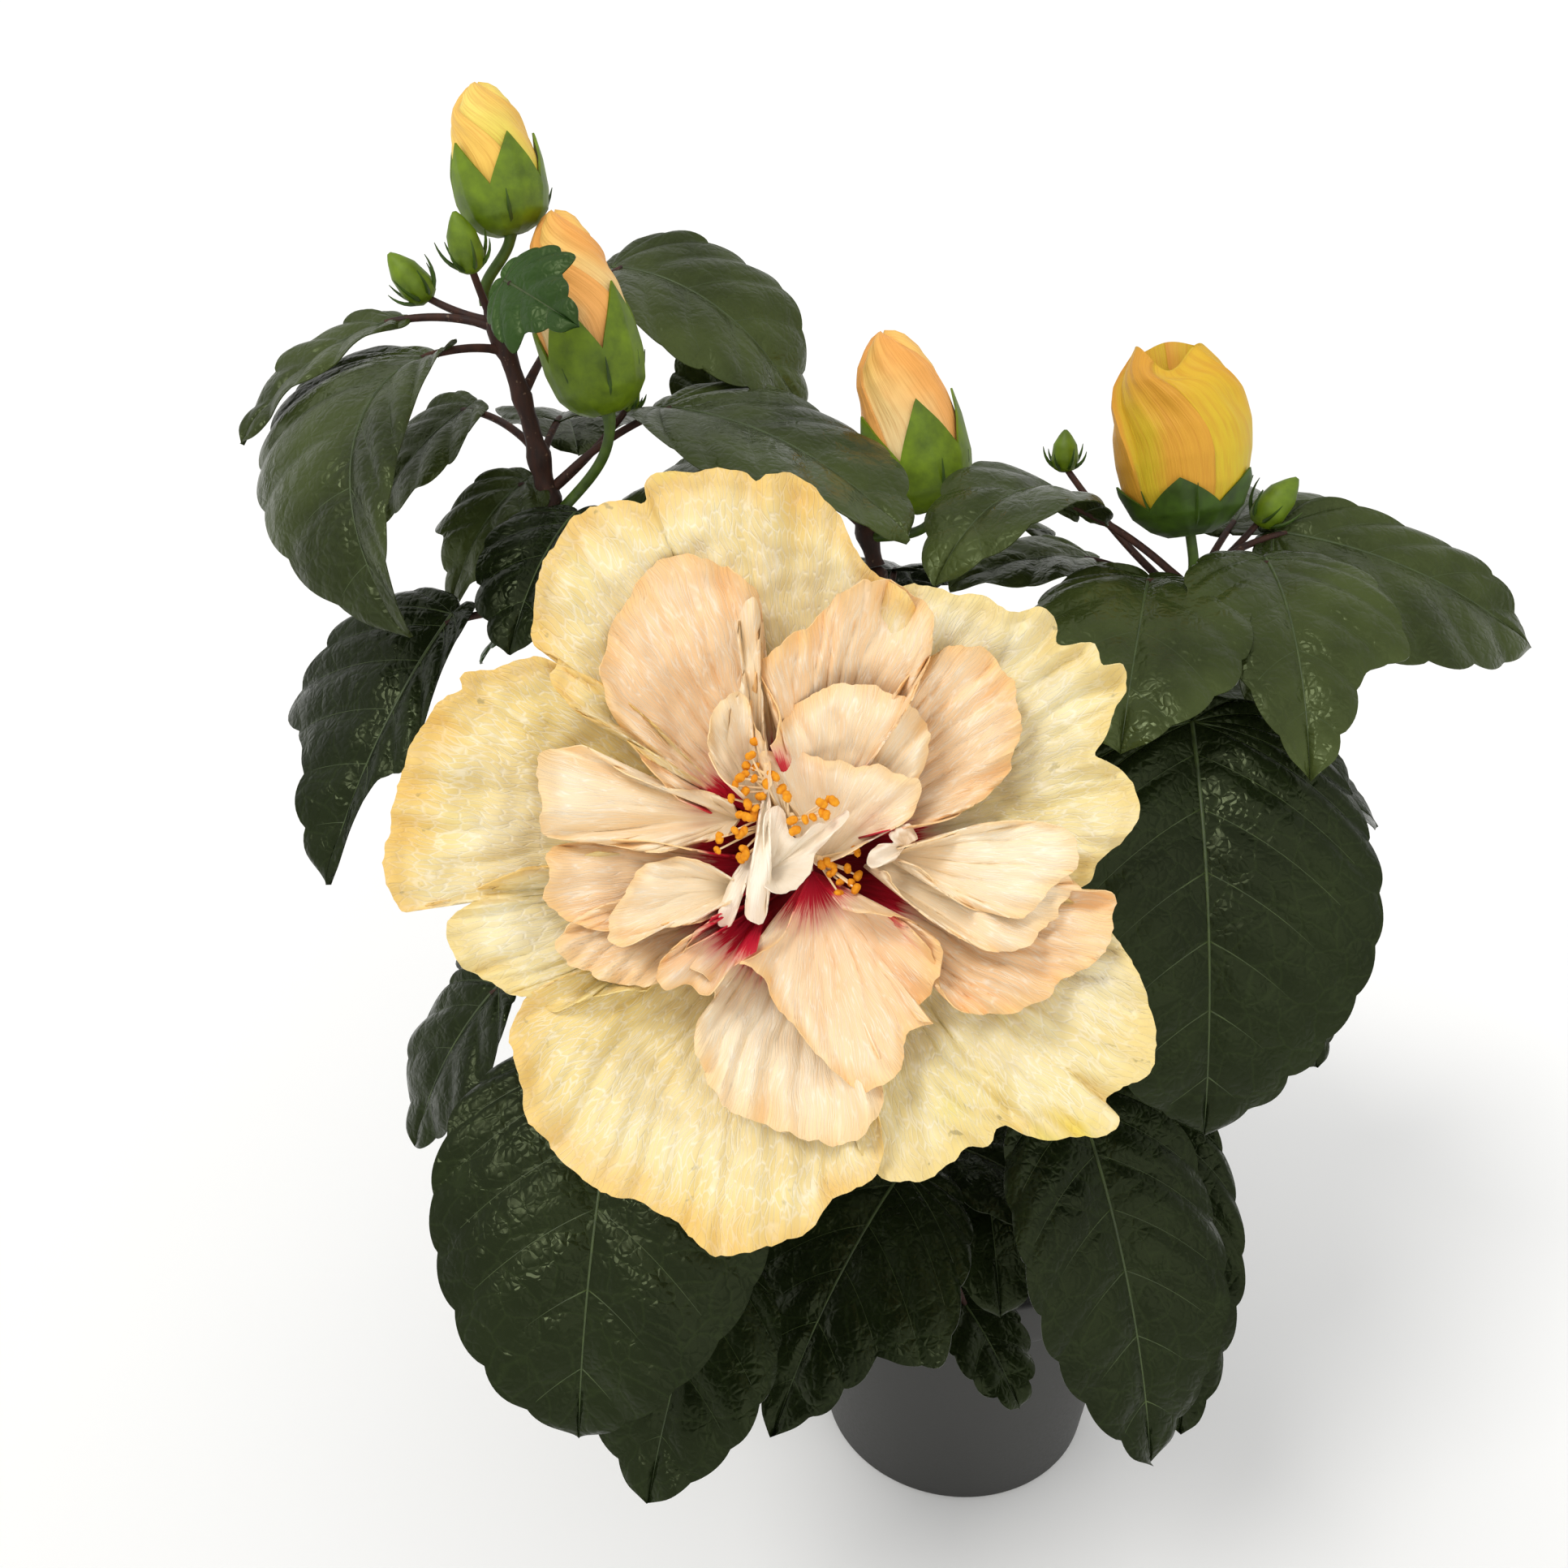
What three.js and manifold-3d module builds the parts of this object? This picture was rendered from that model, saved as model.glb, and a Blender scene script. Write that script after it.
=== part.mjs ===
// A double-flowered hibiscus in a small nursery pot, as a three.js scene graph.
// Millimetres, +Z up. The origin is the centre of the pot's flat underside, and -Y is the side that the
// bloom faces. A compass angle turns from +X (0) towards +Y (90), and a lift is the angle above the
// horizon, both in degrees.
import * as THREE from "three";
import { mergeVertices } from "three/addons/utils/BufferGeometryUtils.js";
import Module from "manifold-3d";

const wasm = await Module();
wasm.setup();

// Driving dimensions
const GAP = 0.3; // free space between neighbouring pieces
const FINEST = 0.12; // detail finer than this is merged
const GOLDEN_ANGLE = 137.5;
const POT = {
  height: 105,
  foot: 45, // radii
  underRim: 55.5,
  rim: 60,
  rimDepth: 17,
  lip: 1,
  wall: 1.6,
  floor: 2,
  sides: 32,
};
const SOIL = { top: 97, crown: 14, edgeDrop: 3, shoulder: 0.8, sides: 24 };
const TRUNK = {
  height: 66,
  radii: [11, 8.4, 7.4, 7, 6.6, 6.2, 5.9, 5.5, 5.2], // from the root flare to the fork
  lean: [-8, 3],
  down: [0.1, -0.05, -1], // the way back down from the fork
  handles: [0.4, 0.35],
  sides: 12,
};
const BOUGH = { handles: [0.38, 0.3], ring: 22, sides: 7 };
const SHOOT = { radii: [2.4, 1.8], handle: 0.5, sides: 6, steps: 4 };
const STALK = { radii: [1.5, 1.3], handles: [0.4, 0.3], sunk: 2, leave: 0.45, sag: 3, sides: 5, steps: 3 };
const PETIOLE = { radii: [1.25, 0.95], sunk: 3, arch: 0.14, sides: 3, steps: 2 };
const LEAF = { thickness: 1.1, width: 0.85, fold: 0.2, droop: 0.6, small: 61 };
const CROWN = { radius: 165, low: 116, top: 356 }; // where the leaves that the rule grows may reach
const PETAL = {
  thickness: 1,
  grid: [4, 5],
  smallGrid: [3, 3],
  small: 65, // the reach under which a petal is small
  tipRound: 0.3,
  widen: 0.8,
  cup: 0.05,
  claw: [0.2, 3], // width at the foot as a share of the petal's, and distance of the foot from the axis
  smallClaw: [0.14, 4],
};

// A leaf's margin on one side: [angle from the midrib, distance from the foot as a share of the length]
const OVATE = [[0, 1], [17, 0.84], [33, 0.69], [54, 0.48], [80, 0.27], [120, 0.1], [180, 0.03]];
const LOBED = [[0, 1], [23, 0.65], [41, 0.72], [56, 0.5], [85, 0.28], [125, 0.12], [180, 0.03]];
const SMALL = [0, 2, 3, 4, 6]; // the points that a small leaf keeps

// Boughs: takeoff is a share of the trunk's height, leave is the lift they set off at, tip is where they
// end, and they point at end there
const BOUGHS = {
  bough_left: { takeoff: 0.84, leave: 38, tip: [-119, -11, 330], radii: [4.4, 2.4], end: [-120, -11, 346] },
  bough_middle: { takeoff: 1, leave: 75, tip: [-36, 8, 312], radii: [4, 2.4], end: [-41, 15, 332] },
  bough_right: { takeoff: 0.7, leave: 50, tip: [41, -18, 303], radii: [4.2, 2.4], end: [42, -20, 321] },
  bough_left_low: { takeoff: 0.6, leave: 35, tip: [-80, -55, 205], radii: [3.8, 2.4], end: [-100, -46, 262] },
  bough_front: { takeoff: 0.78, leave: 40, tip: [-47, -72, 245], radii: [4.2, 2.6], end: [-49, -78, 258] },
  bough_front_low: {
    takeoff: 0.36,
    leave: 30,
    tip: [-28, -45, 148],
    radii: [3.4, 2.4],
    end: [-36, -58, 166],
  },
  bough_right_low: { takeoff: 0.5, leave: 35, tip: [34, -40, 185], radii: [3.8, 2.4], end: [36, -42, 230] },
  bough_back_left: { takeoff: 0.74, leave: 40, tip: [-40, 38, 194], radii: [3.8, 2.4], end: [-44, 42, 214] },
  bough_back_right: { takeoff: 0.66, leave: 40, tip: [31, 36, 184], radii: [3.8, 2.4], end: [35, 41, 204] },
  bough_back_low: { takeoff: 0.42, leave: 32, tip: [-6, 38, 146], radii: [3.4, 2.4], end: [-8, 50, 166] },
  bough_left_side: { takeoff: 0.3, leave: 32, tip: [-46, 10, 146], radii: [3.4, 2.4], end: [-60, 14, 162] },
};

// Masses: a shoot grows on from its bough's tip to the point to, and each leaf stands at a share of the
// shoot's length. A petiole and a blade are [compass, lift, length], and the blade's tip turns down by
// fall. roll lifts the half towards the greater compass, and halves scales the width of that half and of
// the other one. The leaves at the back follow by rule from more.
const MASSES = {
  foliage_left: {
    bough: "bough_left",
    to: [-131, -9, 386],
    leaves: [
      {
        at: 0.8, petiole: [211, 5, 19], blade: [236, 2, 80],
        fall: 95, sway: -0.32, width: 0.95, roll: 12, halves: [0.5, 1.25],
      },
      { at: 0.35, petiole: [134, 13, 28], blade: [216, -21, 42], fall: 40 },
      { at: 0.9, petiole: [170, 2, 25], blade: [210, -6, 49], fall: 50, width: 0.5 },
      { at: 0.85, petiole: [284, 40, 30], blade: [304, -3, 26], fall: 30, lobed: true, width: 1, roll: 50 },
      { at: 0.6, petiole: [68, 22, 54], blade: [331, 5, 68], fall: 80, roll: 14 },
      { at: 0.16, petiole: [17, 33, 36], blade: [331, 5, 76], fall: 40, sway: 0.08 },
      { at: 0.12, petiole: [137, 30, 9], blade: [226, -17, 40], fall: 60, lobed: true },
    ],
    more: { count: 1, seed: 11, from: 0.3, to: 0.75, turn: 95, size: [50, 60] },
    buds: [
      { at: 0.93, stalk: [158, 10, 18], face: [174, 52], length: 14, radius: 4.6 },
      { at: 0.8, stalk: [234, 67, 22], face: [200, 78], length: 14, radius: 4.4 },
      { at: 0.16, stalk: [22, 40, 29], face: [60, 70], length: 8, radius: 2.6 },
    ],
  },
  foliage_middle: {
    bough: "bough_middle",
    to: [-43, 17, 336],
    leaves: [
      { at: 0.4, petiole: [172, 28, 42], blade: [102, 49, 38], fall: 20 },
      { at: 0.6, petiole: [150, 40, 24], blade: [306, -12, 26], fall: 30 },
    ],
    more: { count: 2, seed: 23, from: 0.3, to: 0.8, turn: 60, size: [50, 62] },
    buds: [],
  },
  foliage_right: {
    bough: "bough_right",
    to: [42, -20, 321],
    leaves: [
      { at: 0.8, petiole: [158, 28, 34], blade: [222, 52, 62], fall: 115, width: 0.7 },
      { at: 0.5, petiole: [140, 12, 28], blade: [204, 19, 44], fall: 40 },
      { at: 0.6, petiole: [220, 33, 20], blade: [255, 9, 60], fall: 60, width: 1.05 },
      { at: 0.7, petiole: [334, 37, 22], blade: [271, 0, 66], fall: 60, lobed: true, width: 0.85 },
      {
        at: 0.9, petiole: [30, 18, 28], blade: [338, 0, 74],
        fall: 45, width: 0.9, roll: 22, halves: [0.55, 1.15],
      },
      { at: 0.4, petiole: [45, -28, 30], blade: [328, -45, 34], fall: 30 },
    ],
    more: { count: 1, seed: 37, from: 0.45, to: 0.8, turn: 70, size: [52, 62] },
    buds: [
      { at: 0.6, stalk: [128, 26, 50], face: [100, 80], length: 11, radius: 4 },
      { at: 0.8, stalk: [36, 28, 26], face: [10, 52], length: 15, radius: 5 },
    ],
  },
  foliage_left_low: {
    bough: "bough_left_low",
    to: [-108, -33, 322],
    leaves: [
      { at: 1, petiole: [110, 62, 20], blade: [249, -6, 44], fall: 50, width: 0.9 },
      { at: 0.75, petiole: [130, 34, 36], blade: [176, -31, 25], fall: 30 },
      {
        at: 0.95, petiole: [191, 7, 34], blade: [233, -33, 72],
        fall: 30, lobed: true, width: 0.62, halves: [0.55, 1.7],
      },
      { at: 0.12, petiole: [258, 22, 64], blade: [262, -22, 86], fall: 50, width: 1.1 },
      { at: 0.25, petiole: [197, -9, 47], blade: [213, -37, 50], fall: 40 },
    ],
    more: { count: 3, seed: 41, from: 0.15, to: 0.7, turn: 150, size: [58, 72] },
    buds: [],
  },
  foliage_front_low: {
    bough: "bough_front_low",
    to: [-40, -62, 185],
    leaves: [
      {
        at: 0.7, petiole: [302, -10, 16], blade: [235, -14, 77],
        fall: 45, lobed: true, width: 0.95, halves: [1, 0.75],
      },
      { at: 0.4, petiole: [329, -58, 51], blade: [301, -9, 35], fall: 40 },
      { at: 0.9, petiole: [227, -10, 58], blade: [251, -16, 61], fall: 45, width: 0.95 },
    ],
    more: { count: 1, seed: 53, from: 0.3, to: 0.6, turn: 352, size: [50, 58] },
    buds: [],
  },
  foliage_right_low: {
    bough: "bough_right_low",
    to: [38, -44, 285],
    leaves: [
      { at: 0.9, petiole: [265, 60, 29], blade: [271, -33, 100], fall: 45, width: 1 },
      { at: 0.5, petiole: [334, -2, 35], blade: [296, -38, 32], fall: 30 },
      { at: 1, petiole: [241, -2, 33], blade: [265, -36, 50], fall: 40 },
      { at: 0.12, petiole: [239, 11, 42], blade: [286, -27, 97], fall: 45, width: 0.68 },
      { at: 0.25, petiole: [286, -38, 36], blade: [270, -35, 84], fall: 40, width: 0.6, halves: [0.75, 1] },
    ],
    more: { count: 2, seed: 67, from: 0.05, to: 0.6, turn: 40, size: [46, 54] },
    buds: [],
  },
  foliage_back_left: {
    bough: "bough_back_left",
    to: [-60, 56, 264],
    leaves: [],
    more: { count: 11, seed: 71, from: 0.08, to: 1, turn: 120, size: [54, 70] },
    buds: [],
  },
  foliage_back_right: {
    bough: "bough_back_right",
    to: [44, 52, 250],
    leaves: [],
    more: { count: 11, seed: 83, from: 0.08, to: 1, turn: 40, size: [52, 68] },
    buds: [],
  },
  foliage_back_low: {
    bough: "bough_back_low",
    to: [-9, 56, 188],
    leaves: [],
    more: { count: 8, seed: 97, from: 0.1, to: 1, turn: 40, size: [52, 64] },
    buds: [],
  },
  foliage_left_side: {
    bough: "bough_left_side",
    to: [-86, 20, 182],
    leaves: [],
    more: { count: 8, seed: 59, from: 0.1, to: 1, turn: 200, size: [50, 62] },
    buds: [],
  },
};

// Large buds, each with its stalk: foot and tip of the bud, and the share of the shoot's length where
// the stalk leaves it
const BUDS = {
  bud_left_top: { mass: "foliage_left", at: 1, foot: [-124, -8, 402], tip: [-131, 1, 434], radius: 9.5 },
  bud_left: { mass: "foliage_left", at: 0.03, foot: [-102, -23, 364], tip: [-114, -10, 408], radius: 10.5 },
  bud_middle: { mass: "foliage_middle", at: 0.3, foot: [-22, -2, 332], tip: [-36, 13, 374], radius: 11 },
  bud_right: {
    mass: "foliage_right",
    at: 1,
    foot: [41, -17, 331],
    tip: [34, 1, 375],
    radius: 14,
    open: true,
  },
};
const BUD = {
  sepals: 5,
  sepalTop: 0.5,
  notch: 0.5,
  openCalyx: 0.75,
  edge: [1.12, 0.98],
  overlap: 0.14,
  twist: 1.1,
  // rings of [height, radius] as shares of the bud's length and radius
  calyx: [[0, 0.4], [0.05, 0.8], [0.14, 1.06], [0.3, 1.14]],
  closed: [[0.55, 0.96], [0.74, 0.8], [0.9, 0.48], [1, 0.14]],
  opening: [[0.45, 0.98], [0.62, 1], [0.78, 0.92], [0.92, 0.74], [1, 0.56], [0.93, 0.4], [0.8, 0.2]],
};
const SMALL_BUD = {
  stalk: { radii: [1.1, 0.9], sides: 3, steps: 3 },
  sunk: 1.5,
  sag: 0.08,
  sides: 6,
  rings: [[0, 0.45], [0.3, 1], [0.65, 0.85], [1, 0.15]],
};

// The bloom: its throat, the tilt of its axis above the horizon, and its petals. A petal is set by its
// turn round the axis (0 to the right, 90 up), its reach and half width, and the angles off the axis that
// it opens through.
const BLOOM = {
  throat: [-57, -127, 305],
  tilt: 32,
  depth: 22,
  stalk: { radii: [2.4, 2], handle: 0.4, sunk: 3, sides: 6, steps: 6 },
  calyx: { length: 17, radius: 8.5, sepals: [1.5, 0.75], edge: [1.08, 0.9] },
  // rings of [height, radius] as shares of the calyx's length and radius
  under: [[0, 0.35], [0.2, 0.85], [0.55, 1]],
  inside: [[1.55, 0.7], [1.7, 0.4]],
};
const OUTER_PETALS = [
  { turn: 101, reach: 77, half: 33, open: [34, 96], ruffle: 4, waves: 2.6, phase: 0.4 },
  { turn: 170, reach: 81, half: 28, open: [38, 100], ruffle: 4, waves: 2.2, phase: 2.1 },
  { turn: 199, reach: 70, half: 18, open: [40, 104], ruffle: 3, waves: 1.6, phase: 0.9 },
  { turn: 248, reach: 78, half: 34, open: [34, 92], ruffle: 4, waves: 2.6, phase: 3.0 },
  { turn: 312, reach: 75, half: 33, open: [36, 94], ruffle: 4, waves: 2.4, phase: 1.3 },
  { turn: 28, reach: 73, half: 36, open: [40, 100], ruffle: 4, waves: 2.8, phase: 5.2 },
];
const INNER_PETALS = [
  { turn: 118, reach: 62, half: 15.5, open: [22, 84], ruffle: 3, waves: 1.8, phase: 0.2 },
  { turn: 97, reach: 50, half: 6, open: [20, 76], ruffle: 2, waves: 1.2, phase: 1.2, twist: 40 },
  { turn: 68, reach: 55, half: 17, open: [20, 80], ruffle: 4, waves: 1.6, phase: 2.4, cup: 0.35 },
  { turn: 33, reach: 50, half: 15, open: [18, 74], ruffle: 3, waves: 1.8, phase: 4.1, cup: 0.3 },
  { turn: 62, reach: 34, half: 14, open: [12, 52], ruffle: 2.5, waves: 1.4, phase: 0.5, cup: 0.4 },
  { turn: 165, reach: 52, half: 14, open: [20, 82], ruffle: 3, waves: 1.8, phase: 1.9, cup: 0.2 },
  { turn: 189, reach: 46, half: 11, open: [18, 76], ruffle: 3, waves: 1.4, phase: 3.3, twist: -25 },
  { turn: 212, reach: 45, half: 11, open: [18, 78], ruffle: 3, waves: 1.4, phase: 0.7, cup: 0.3 },
  { turn: 262, reach: 55, half: 17, open: [22, 84], ruffle: 3, waves: 2, phase: 2.8, cup: 0.2 },
  { turn: 298, reach: 52, half: 18, open: [22, 84], ruffle: 3, waves: 1.8, phase: 5.0, cup: 0.2 },
  { turn: 333, reach: 60, half: 17, open: [24, 86], ruffle: 3, waves: 1.8, phase: 1.6, cup: 0.15 },
  { turn: 352, reach: 53, half: 12, open: [16, 72], ruffle: 3, waves: 1.6, phase: 3.9, cup: 0.35 },
  { turn: 228, reach: 30, half: 8, open: [10, 56], ruffle: 2, waves: 1.2, phase: 1.1, cup: 0.5, twist: 30 },
  { turn: 140, reach: 26, half: 6.5, open: [8, 48], ruffle: 2, waves: 1.2, phase: 2.2, cup: 0.5, twist: -30 },
];
const STAMENS = {
  column: { radii: [3, 1.8], beyond: 5, sides: 6, steps: 2 }, // beyond is how far it clears the throat
  filament: { radii: [0.7, 0.7], sides: 3, steps: 1 },
  anther: 2.2,
  count: 7,
  seed: 7,
  from: 0.45,
  to: 0.95,
  spread: [10, 52],
  length: [9, 17],
};

// How the leaves by rule are drawn: each is a golden angle round the shoot from the one before
const RULE = {
  stray: [-14, 14],
  rise: [5, 30],
  petiole: [0.35, 0.5], // as a share of the blade
  aside: [-15, 15],
  dip: [12, 30],
  fall: [35, 65],
  lobed: 0.35, // the share of them with lobes
};

const COLOURS = {
  pot: [0x4a4b4f, 0.55],
  soil: [0x2d1d12, 0.95],
  bark: [0x3f241b, 0.7],
  leaf: [0x1d2f1c, 0.5],
  petal: [0xf3d9a4, 0.6],
  bud: [0xe9b24f, 0.6],
};

// Small vector and number helpers
const rad = THREE.MathUtils.degToRad;
const vec = (x, y, z) => new THREE.Vector3(x, y, z);
const along = (from, way, length) => from.clone().addScaledVector(way, length);

function heading(compass, lift) {
  const c = rad(compass);
  const l = rad(lift);
  return vec(Math.cos(c) * Math.cos(l), Math.sin(c) * Math.cos(l), Math.sin(l));
}

// Park and Miller's generator, so that the same seed always gives the same plant
function seeded(seed) {
  let state = seed;
  return (low, high) => {
    state = (state * 16807) % 2147483647;
    return low + ((high - low) * state) / 2147483647;
  };
}

// Value at t, from 0 to 1, on straight lines between evenly spaced values
function between(values, t) {
  const place = Math.min(Math.max(t, 0), 1) * (values.length - 1);
  const i = Math.min(Math.floor(place), values.length - 2);
  return values[i] + (values[i + 1] - values[i]) * (place - i);
}

// Solids
function solidOf(geometry) {
  const bare = geometry.index ? geometry.toNonIndexed() : geometry.clone();
  bare.deleteAttribute("normal");
  bare.deleteAttribute("uv");
  const merged = mergeVertices(bare, 1e-3);
  const kept = [];
  const index = merged.index.array;
  for (let i = 0; i < index.length; i += 3) {
    const [a, b, c] = [index[i], index[i + 1], index[i + 2]];
    if (a !== b && b !== c && a !== c) kept.push(a, b, c);
  }
  const vertProperties = merged.attributes.position.array;
  const mesh = { numProp: 3, vertProperties, triVerts: new Uint32Array(kept) };
  return new wasm.Manifold(new wasm.Mesh(mesh));
}

function geometryOf(solid) {
  const mesh = solid.getMesh();
  const positions = new Float32Array(mesh.numVert * 3);
  for (let i = 0; i < mesh.numVert; i++) {
    positions.set(mesh.vertProperties.subarray(i * mesh.numProp, i * mesh.numProp + 3), i * 3);
  }
  const geometry = new THREE.BufferGeometry();
  geometry.setAttribute("position", new THREE.BufferAttribute(positions, 3));
  geometry.setIndex(new THREE.BufferAttribute(mesh.triVerts, 1));
  geometry.computeVertexNormals();
  return geometry;
}

const joined = (solids) => solids.reduce((whole, next) => whole.add(next));

// The largest of a solid's separate bodies: scraps that a cut leaves, and hollows that a join seals, go
function mainBody(solid) {
  return solid.decompose().reduce((best, next) => (next.volume() > best.volume() ? next : best));
}

const tidied = (solid) => mainBody(mainBody(solid).simplify(FINEST));

// A closed skin from rows of points: each row is a ring, and a cap closes each end
function skinOfRings(rings) {
  const sides = rings[0].length;
  const positions = [];
  const face = (...points) => points.forEach((p) => positions.push(p.x, p.y, p.z));
  for (let r = 0; r + 1 < rings.length; r++) {
    for (let i = 0; i < sides; i++) {
      const j = (i + 1) % sides;
      face(rings[r][i], rings[r][j], rings[r + 1][j]);
      face(rings[r][i], rings[r + 1][j], rings[r + 1][i]);
    }
  }
  for (let i = 1; i + 1 < sides; i++) {
    const last = rings[rings.length - 1];
    face(rings[0][0], rings[0][i + 1], rings[0][i]);
    face(last[0], last[i], last[i + 1]);
  }
  const geometry = new THREE.BufferGeometry();
  geometry.setAttribute("position", new THREE.Float32BufferAttribute(positions, 3));
  return geometry;
}

// A tapering limb round a curve: its radius follows evenly spaced values, and its ends are cut square
function limb(curve, { radii, sides, steps }, extra = 0) {
  const frames = curve.computeFrenetFrames(steps, false);
  const rings = [];
  for (let s = 0; s <= steps; s++) {
    const centre = curve.getPointAt(s / steps);
    const radius = between(radii, s / steps) + extra;
    const ring = [];
    for (let i = 0; i < sides; i++) {
      const turn = (2 * Math.PI * i) / sides;
      ring.push(
        centre
          .clone()
          .addScaledVector(frames.normals[s], radius * Math.cos(turn))
          .addScaledVector(frames.binormals[s], radius * Math.sin(turn)),
      );
    }
    rings.push(ring);
  }
  return solidOf(skinOfRings(rings));
}

// A closed plate of even thickness on a surface: place(u, v) gives its middle over a grid of rows and columns
function plate(place, rows, columns, thickness) {
  const step = 1e-3;
  const spots = [];
  for (let r = 0; r <= rows; r++) {
    spots.push([]);
    for (let c = 0; c <= columns; c++) {
      const u = r / rows;
      const v = (2 * c) / columns - 1;
      const here = place(u, v);
      const du = place(Math.min(u + step, 1), v).sub(place(Math.max(u - step, 0), v));
      const dv = place(u, Math.min(v + step, 1)).sub(place(u, Math.max(v - step, -1)));
      const normal = du.cross(dv).normalize().multiplyScalar(thickness / 2);
      spots[r].push([here.clone().add(normal), here.clone().sub(normal)]);
    }
  }
  const positions = [];
  const quad = (a, b, c, d) => [a, b, c, a, c, d].forEach((p) => positions.push(p.x, p.y, p.z));
  for (let r = 0; r < rows; r++) {
    for (let c = 0; c < columns; c++) {
      const [a, b, d, e] = [spots[r][c], spots[r + 1][c], spots[r + 1][c + 1], spots[r][c + 1]];
      quad(a[0], b[0], d[0], e[0]);
      quad(e[1], d[1], b[1], a[1]);
    }
    const [a, b] = [spots[r][0], spots[r + 1][0]];
    const [d, e] = [spots[r][columns], spots[r + 1][columns]];
    quad(b[0], a[0], a[1], b[1]);
    quad(d[0], e[0], e[1], d[1]);
  }
  for (let c = 0; c < columns; c++) {
    const [a, b] = [spots[0][c], spots[0][c + 1]];
    const [d, e] = [spots[rows][c], spots[rows][c + 1]];
    quad(a[0], b[0], b[1], a[1]);
    quad(e[0], d[0], d[1], e[1]);
  }
  const geometry = new THREE.BufferGeometry();
  geometry.setAttribute("position", new THREE.Float32BufferAttribute(positions, 3));
  return solidOf(geometry);
}

// The pot and its soil
const potTaper = (POT.underRim - POT.foot) / (POT.height - POT.rimDepth);
const outerRadius = (z) => POT.foot + potTaper * z;
const innerRadius = (z) => outerRadius(z) - POT.wall;

function turned(profile, sides) {
  const points = profile.map(([r, z]) => new THREE.Vector2(r, z));
  const geometry = new THREE.LatheGeometry(points, sides);
  geometry.rotateX(Math.PI / 2);
  return solidOf(geometry);
}

function pot() {
  const under = POT.height - POT.rimDepth;
  return turned(
    [
      [0, 0],
      [POT.foot, 0],
      [POT.underRim, under],
      [POT.rim - POT.lip, under + POT.lip / 2],
      [POT.rim, POT.height - POT.lip],
      [POT.rim - POT.lip, POT.height],
      [innerRadius(POT.height), POT.height],
      [innerRadius(POT.floor), POT.floor],
      [0, POT.floor],
      [0, 0],
    ],
    POT.sides,
  );
}

function soil() {
  const low = POT.floor + GAP;
  const edge = SOIL.top - SOIL.edgeDrop;
  const middle = (SOIL.crown + innerRadius(edge)) / 2;
  return turned(
    [
      [0, low],
      [innerRadius(low) - 2 * GAP, low],
      [innerRadius(edge) - 2 * GAP, edge],
      [middle, edge + SOIL.edgeDrop * SOIL.shoulder],
      [SOIL.crown, SOIL.top],
      [0, SOIL.top],
      [0, low],
    ],
    SOIL.sides,
  );
}

// The trunk, then the boughs that leave it
const ground = vec(0, 0, SOIL.top + GAP);
const fork = vec(...TRUNK.lean, ground.z + TRUNK.height);
const trunkCurve = new THREE.CubicBezierCurve3(
  ground,
  along(ground, vec(0, 0, 1), TRUNK.height * TRUNK.handles[0]),
  along(fork, vec(...TRUNK.down).normalize(), TRUNK.height * TRUNK.handles[1]),
  fork,
);

// With extra, the trunk is thicker by that much all round and over its end
function trunk(extra = 0) {
  const { radii, sides } = TRUNK;
  const whole = limb(trunkCurve, { radii, sides, steps: radii.length - 1 }, extra);
  if (!extra) return whole;
  const way = trunkCurve.getTangentAt(1);
  const cap = new THREE.LineCurve3(along(fork, way, -extra), along(fork, way, extra));
  return whole.add(limb(cap, { radii: radii.slice(-2), sides, steps: 1 }, extra));
}

function boughCurve({ takeoff, leave, tip, end }) {
  const start = trunkCurve.getPointAt(takeoff);
  const finish = vec(...tip);
  const span = start.distanceTo(finish);
  const compass = THREE.MathUtils.radToDeg(Math.atan2(finish.y - start.y, finish.x - start.x));
  const arrive = vec(...end).sub(finish).normalize();
  return new THREE.CubicBezierCurve3(
    start,
    along(start, heading(compass, leave), span * BOUGH.handles[0]),
    along(finish, arrive, -span * BOUGH.handles[1]),
    finish,
  );
}

const boughCurves = {};
const boughs = {};
let clearance = trunk(GAP);
for (const [name, bough] of Object.entries(BOUGHS)) {
  const curve = boughCurve(bough);
  const shape = { radii: bough.radii, sides: BOUGH.sides, steps: Math.round(curve.getLength() / BOUGH.ring) };
  boughs[name] = mainBody(limb(curve, shape).subtract(clearance));
  clearance = clearance.add(limb(curve, shape, GAP));
  boughCurves[name] = curve;
}

// Shoots: each grows on from its bough's tip along the same line
function shootCurve({ bough, to }) {
  const curve = boughCurves[bough];
  const way = curve.getTangentAt(1);
  const start = along(curve.getPointAt(1), way, GAP);
  const finish = vec(...to);
  const control = along(start, way, start.distanceTo(finish) * SHOOT.handle);
  return new THREE.QuadraticBezierCurve3(start, control, finish);
}

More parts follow.
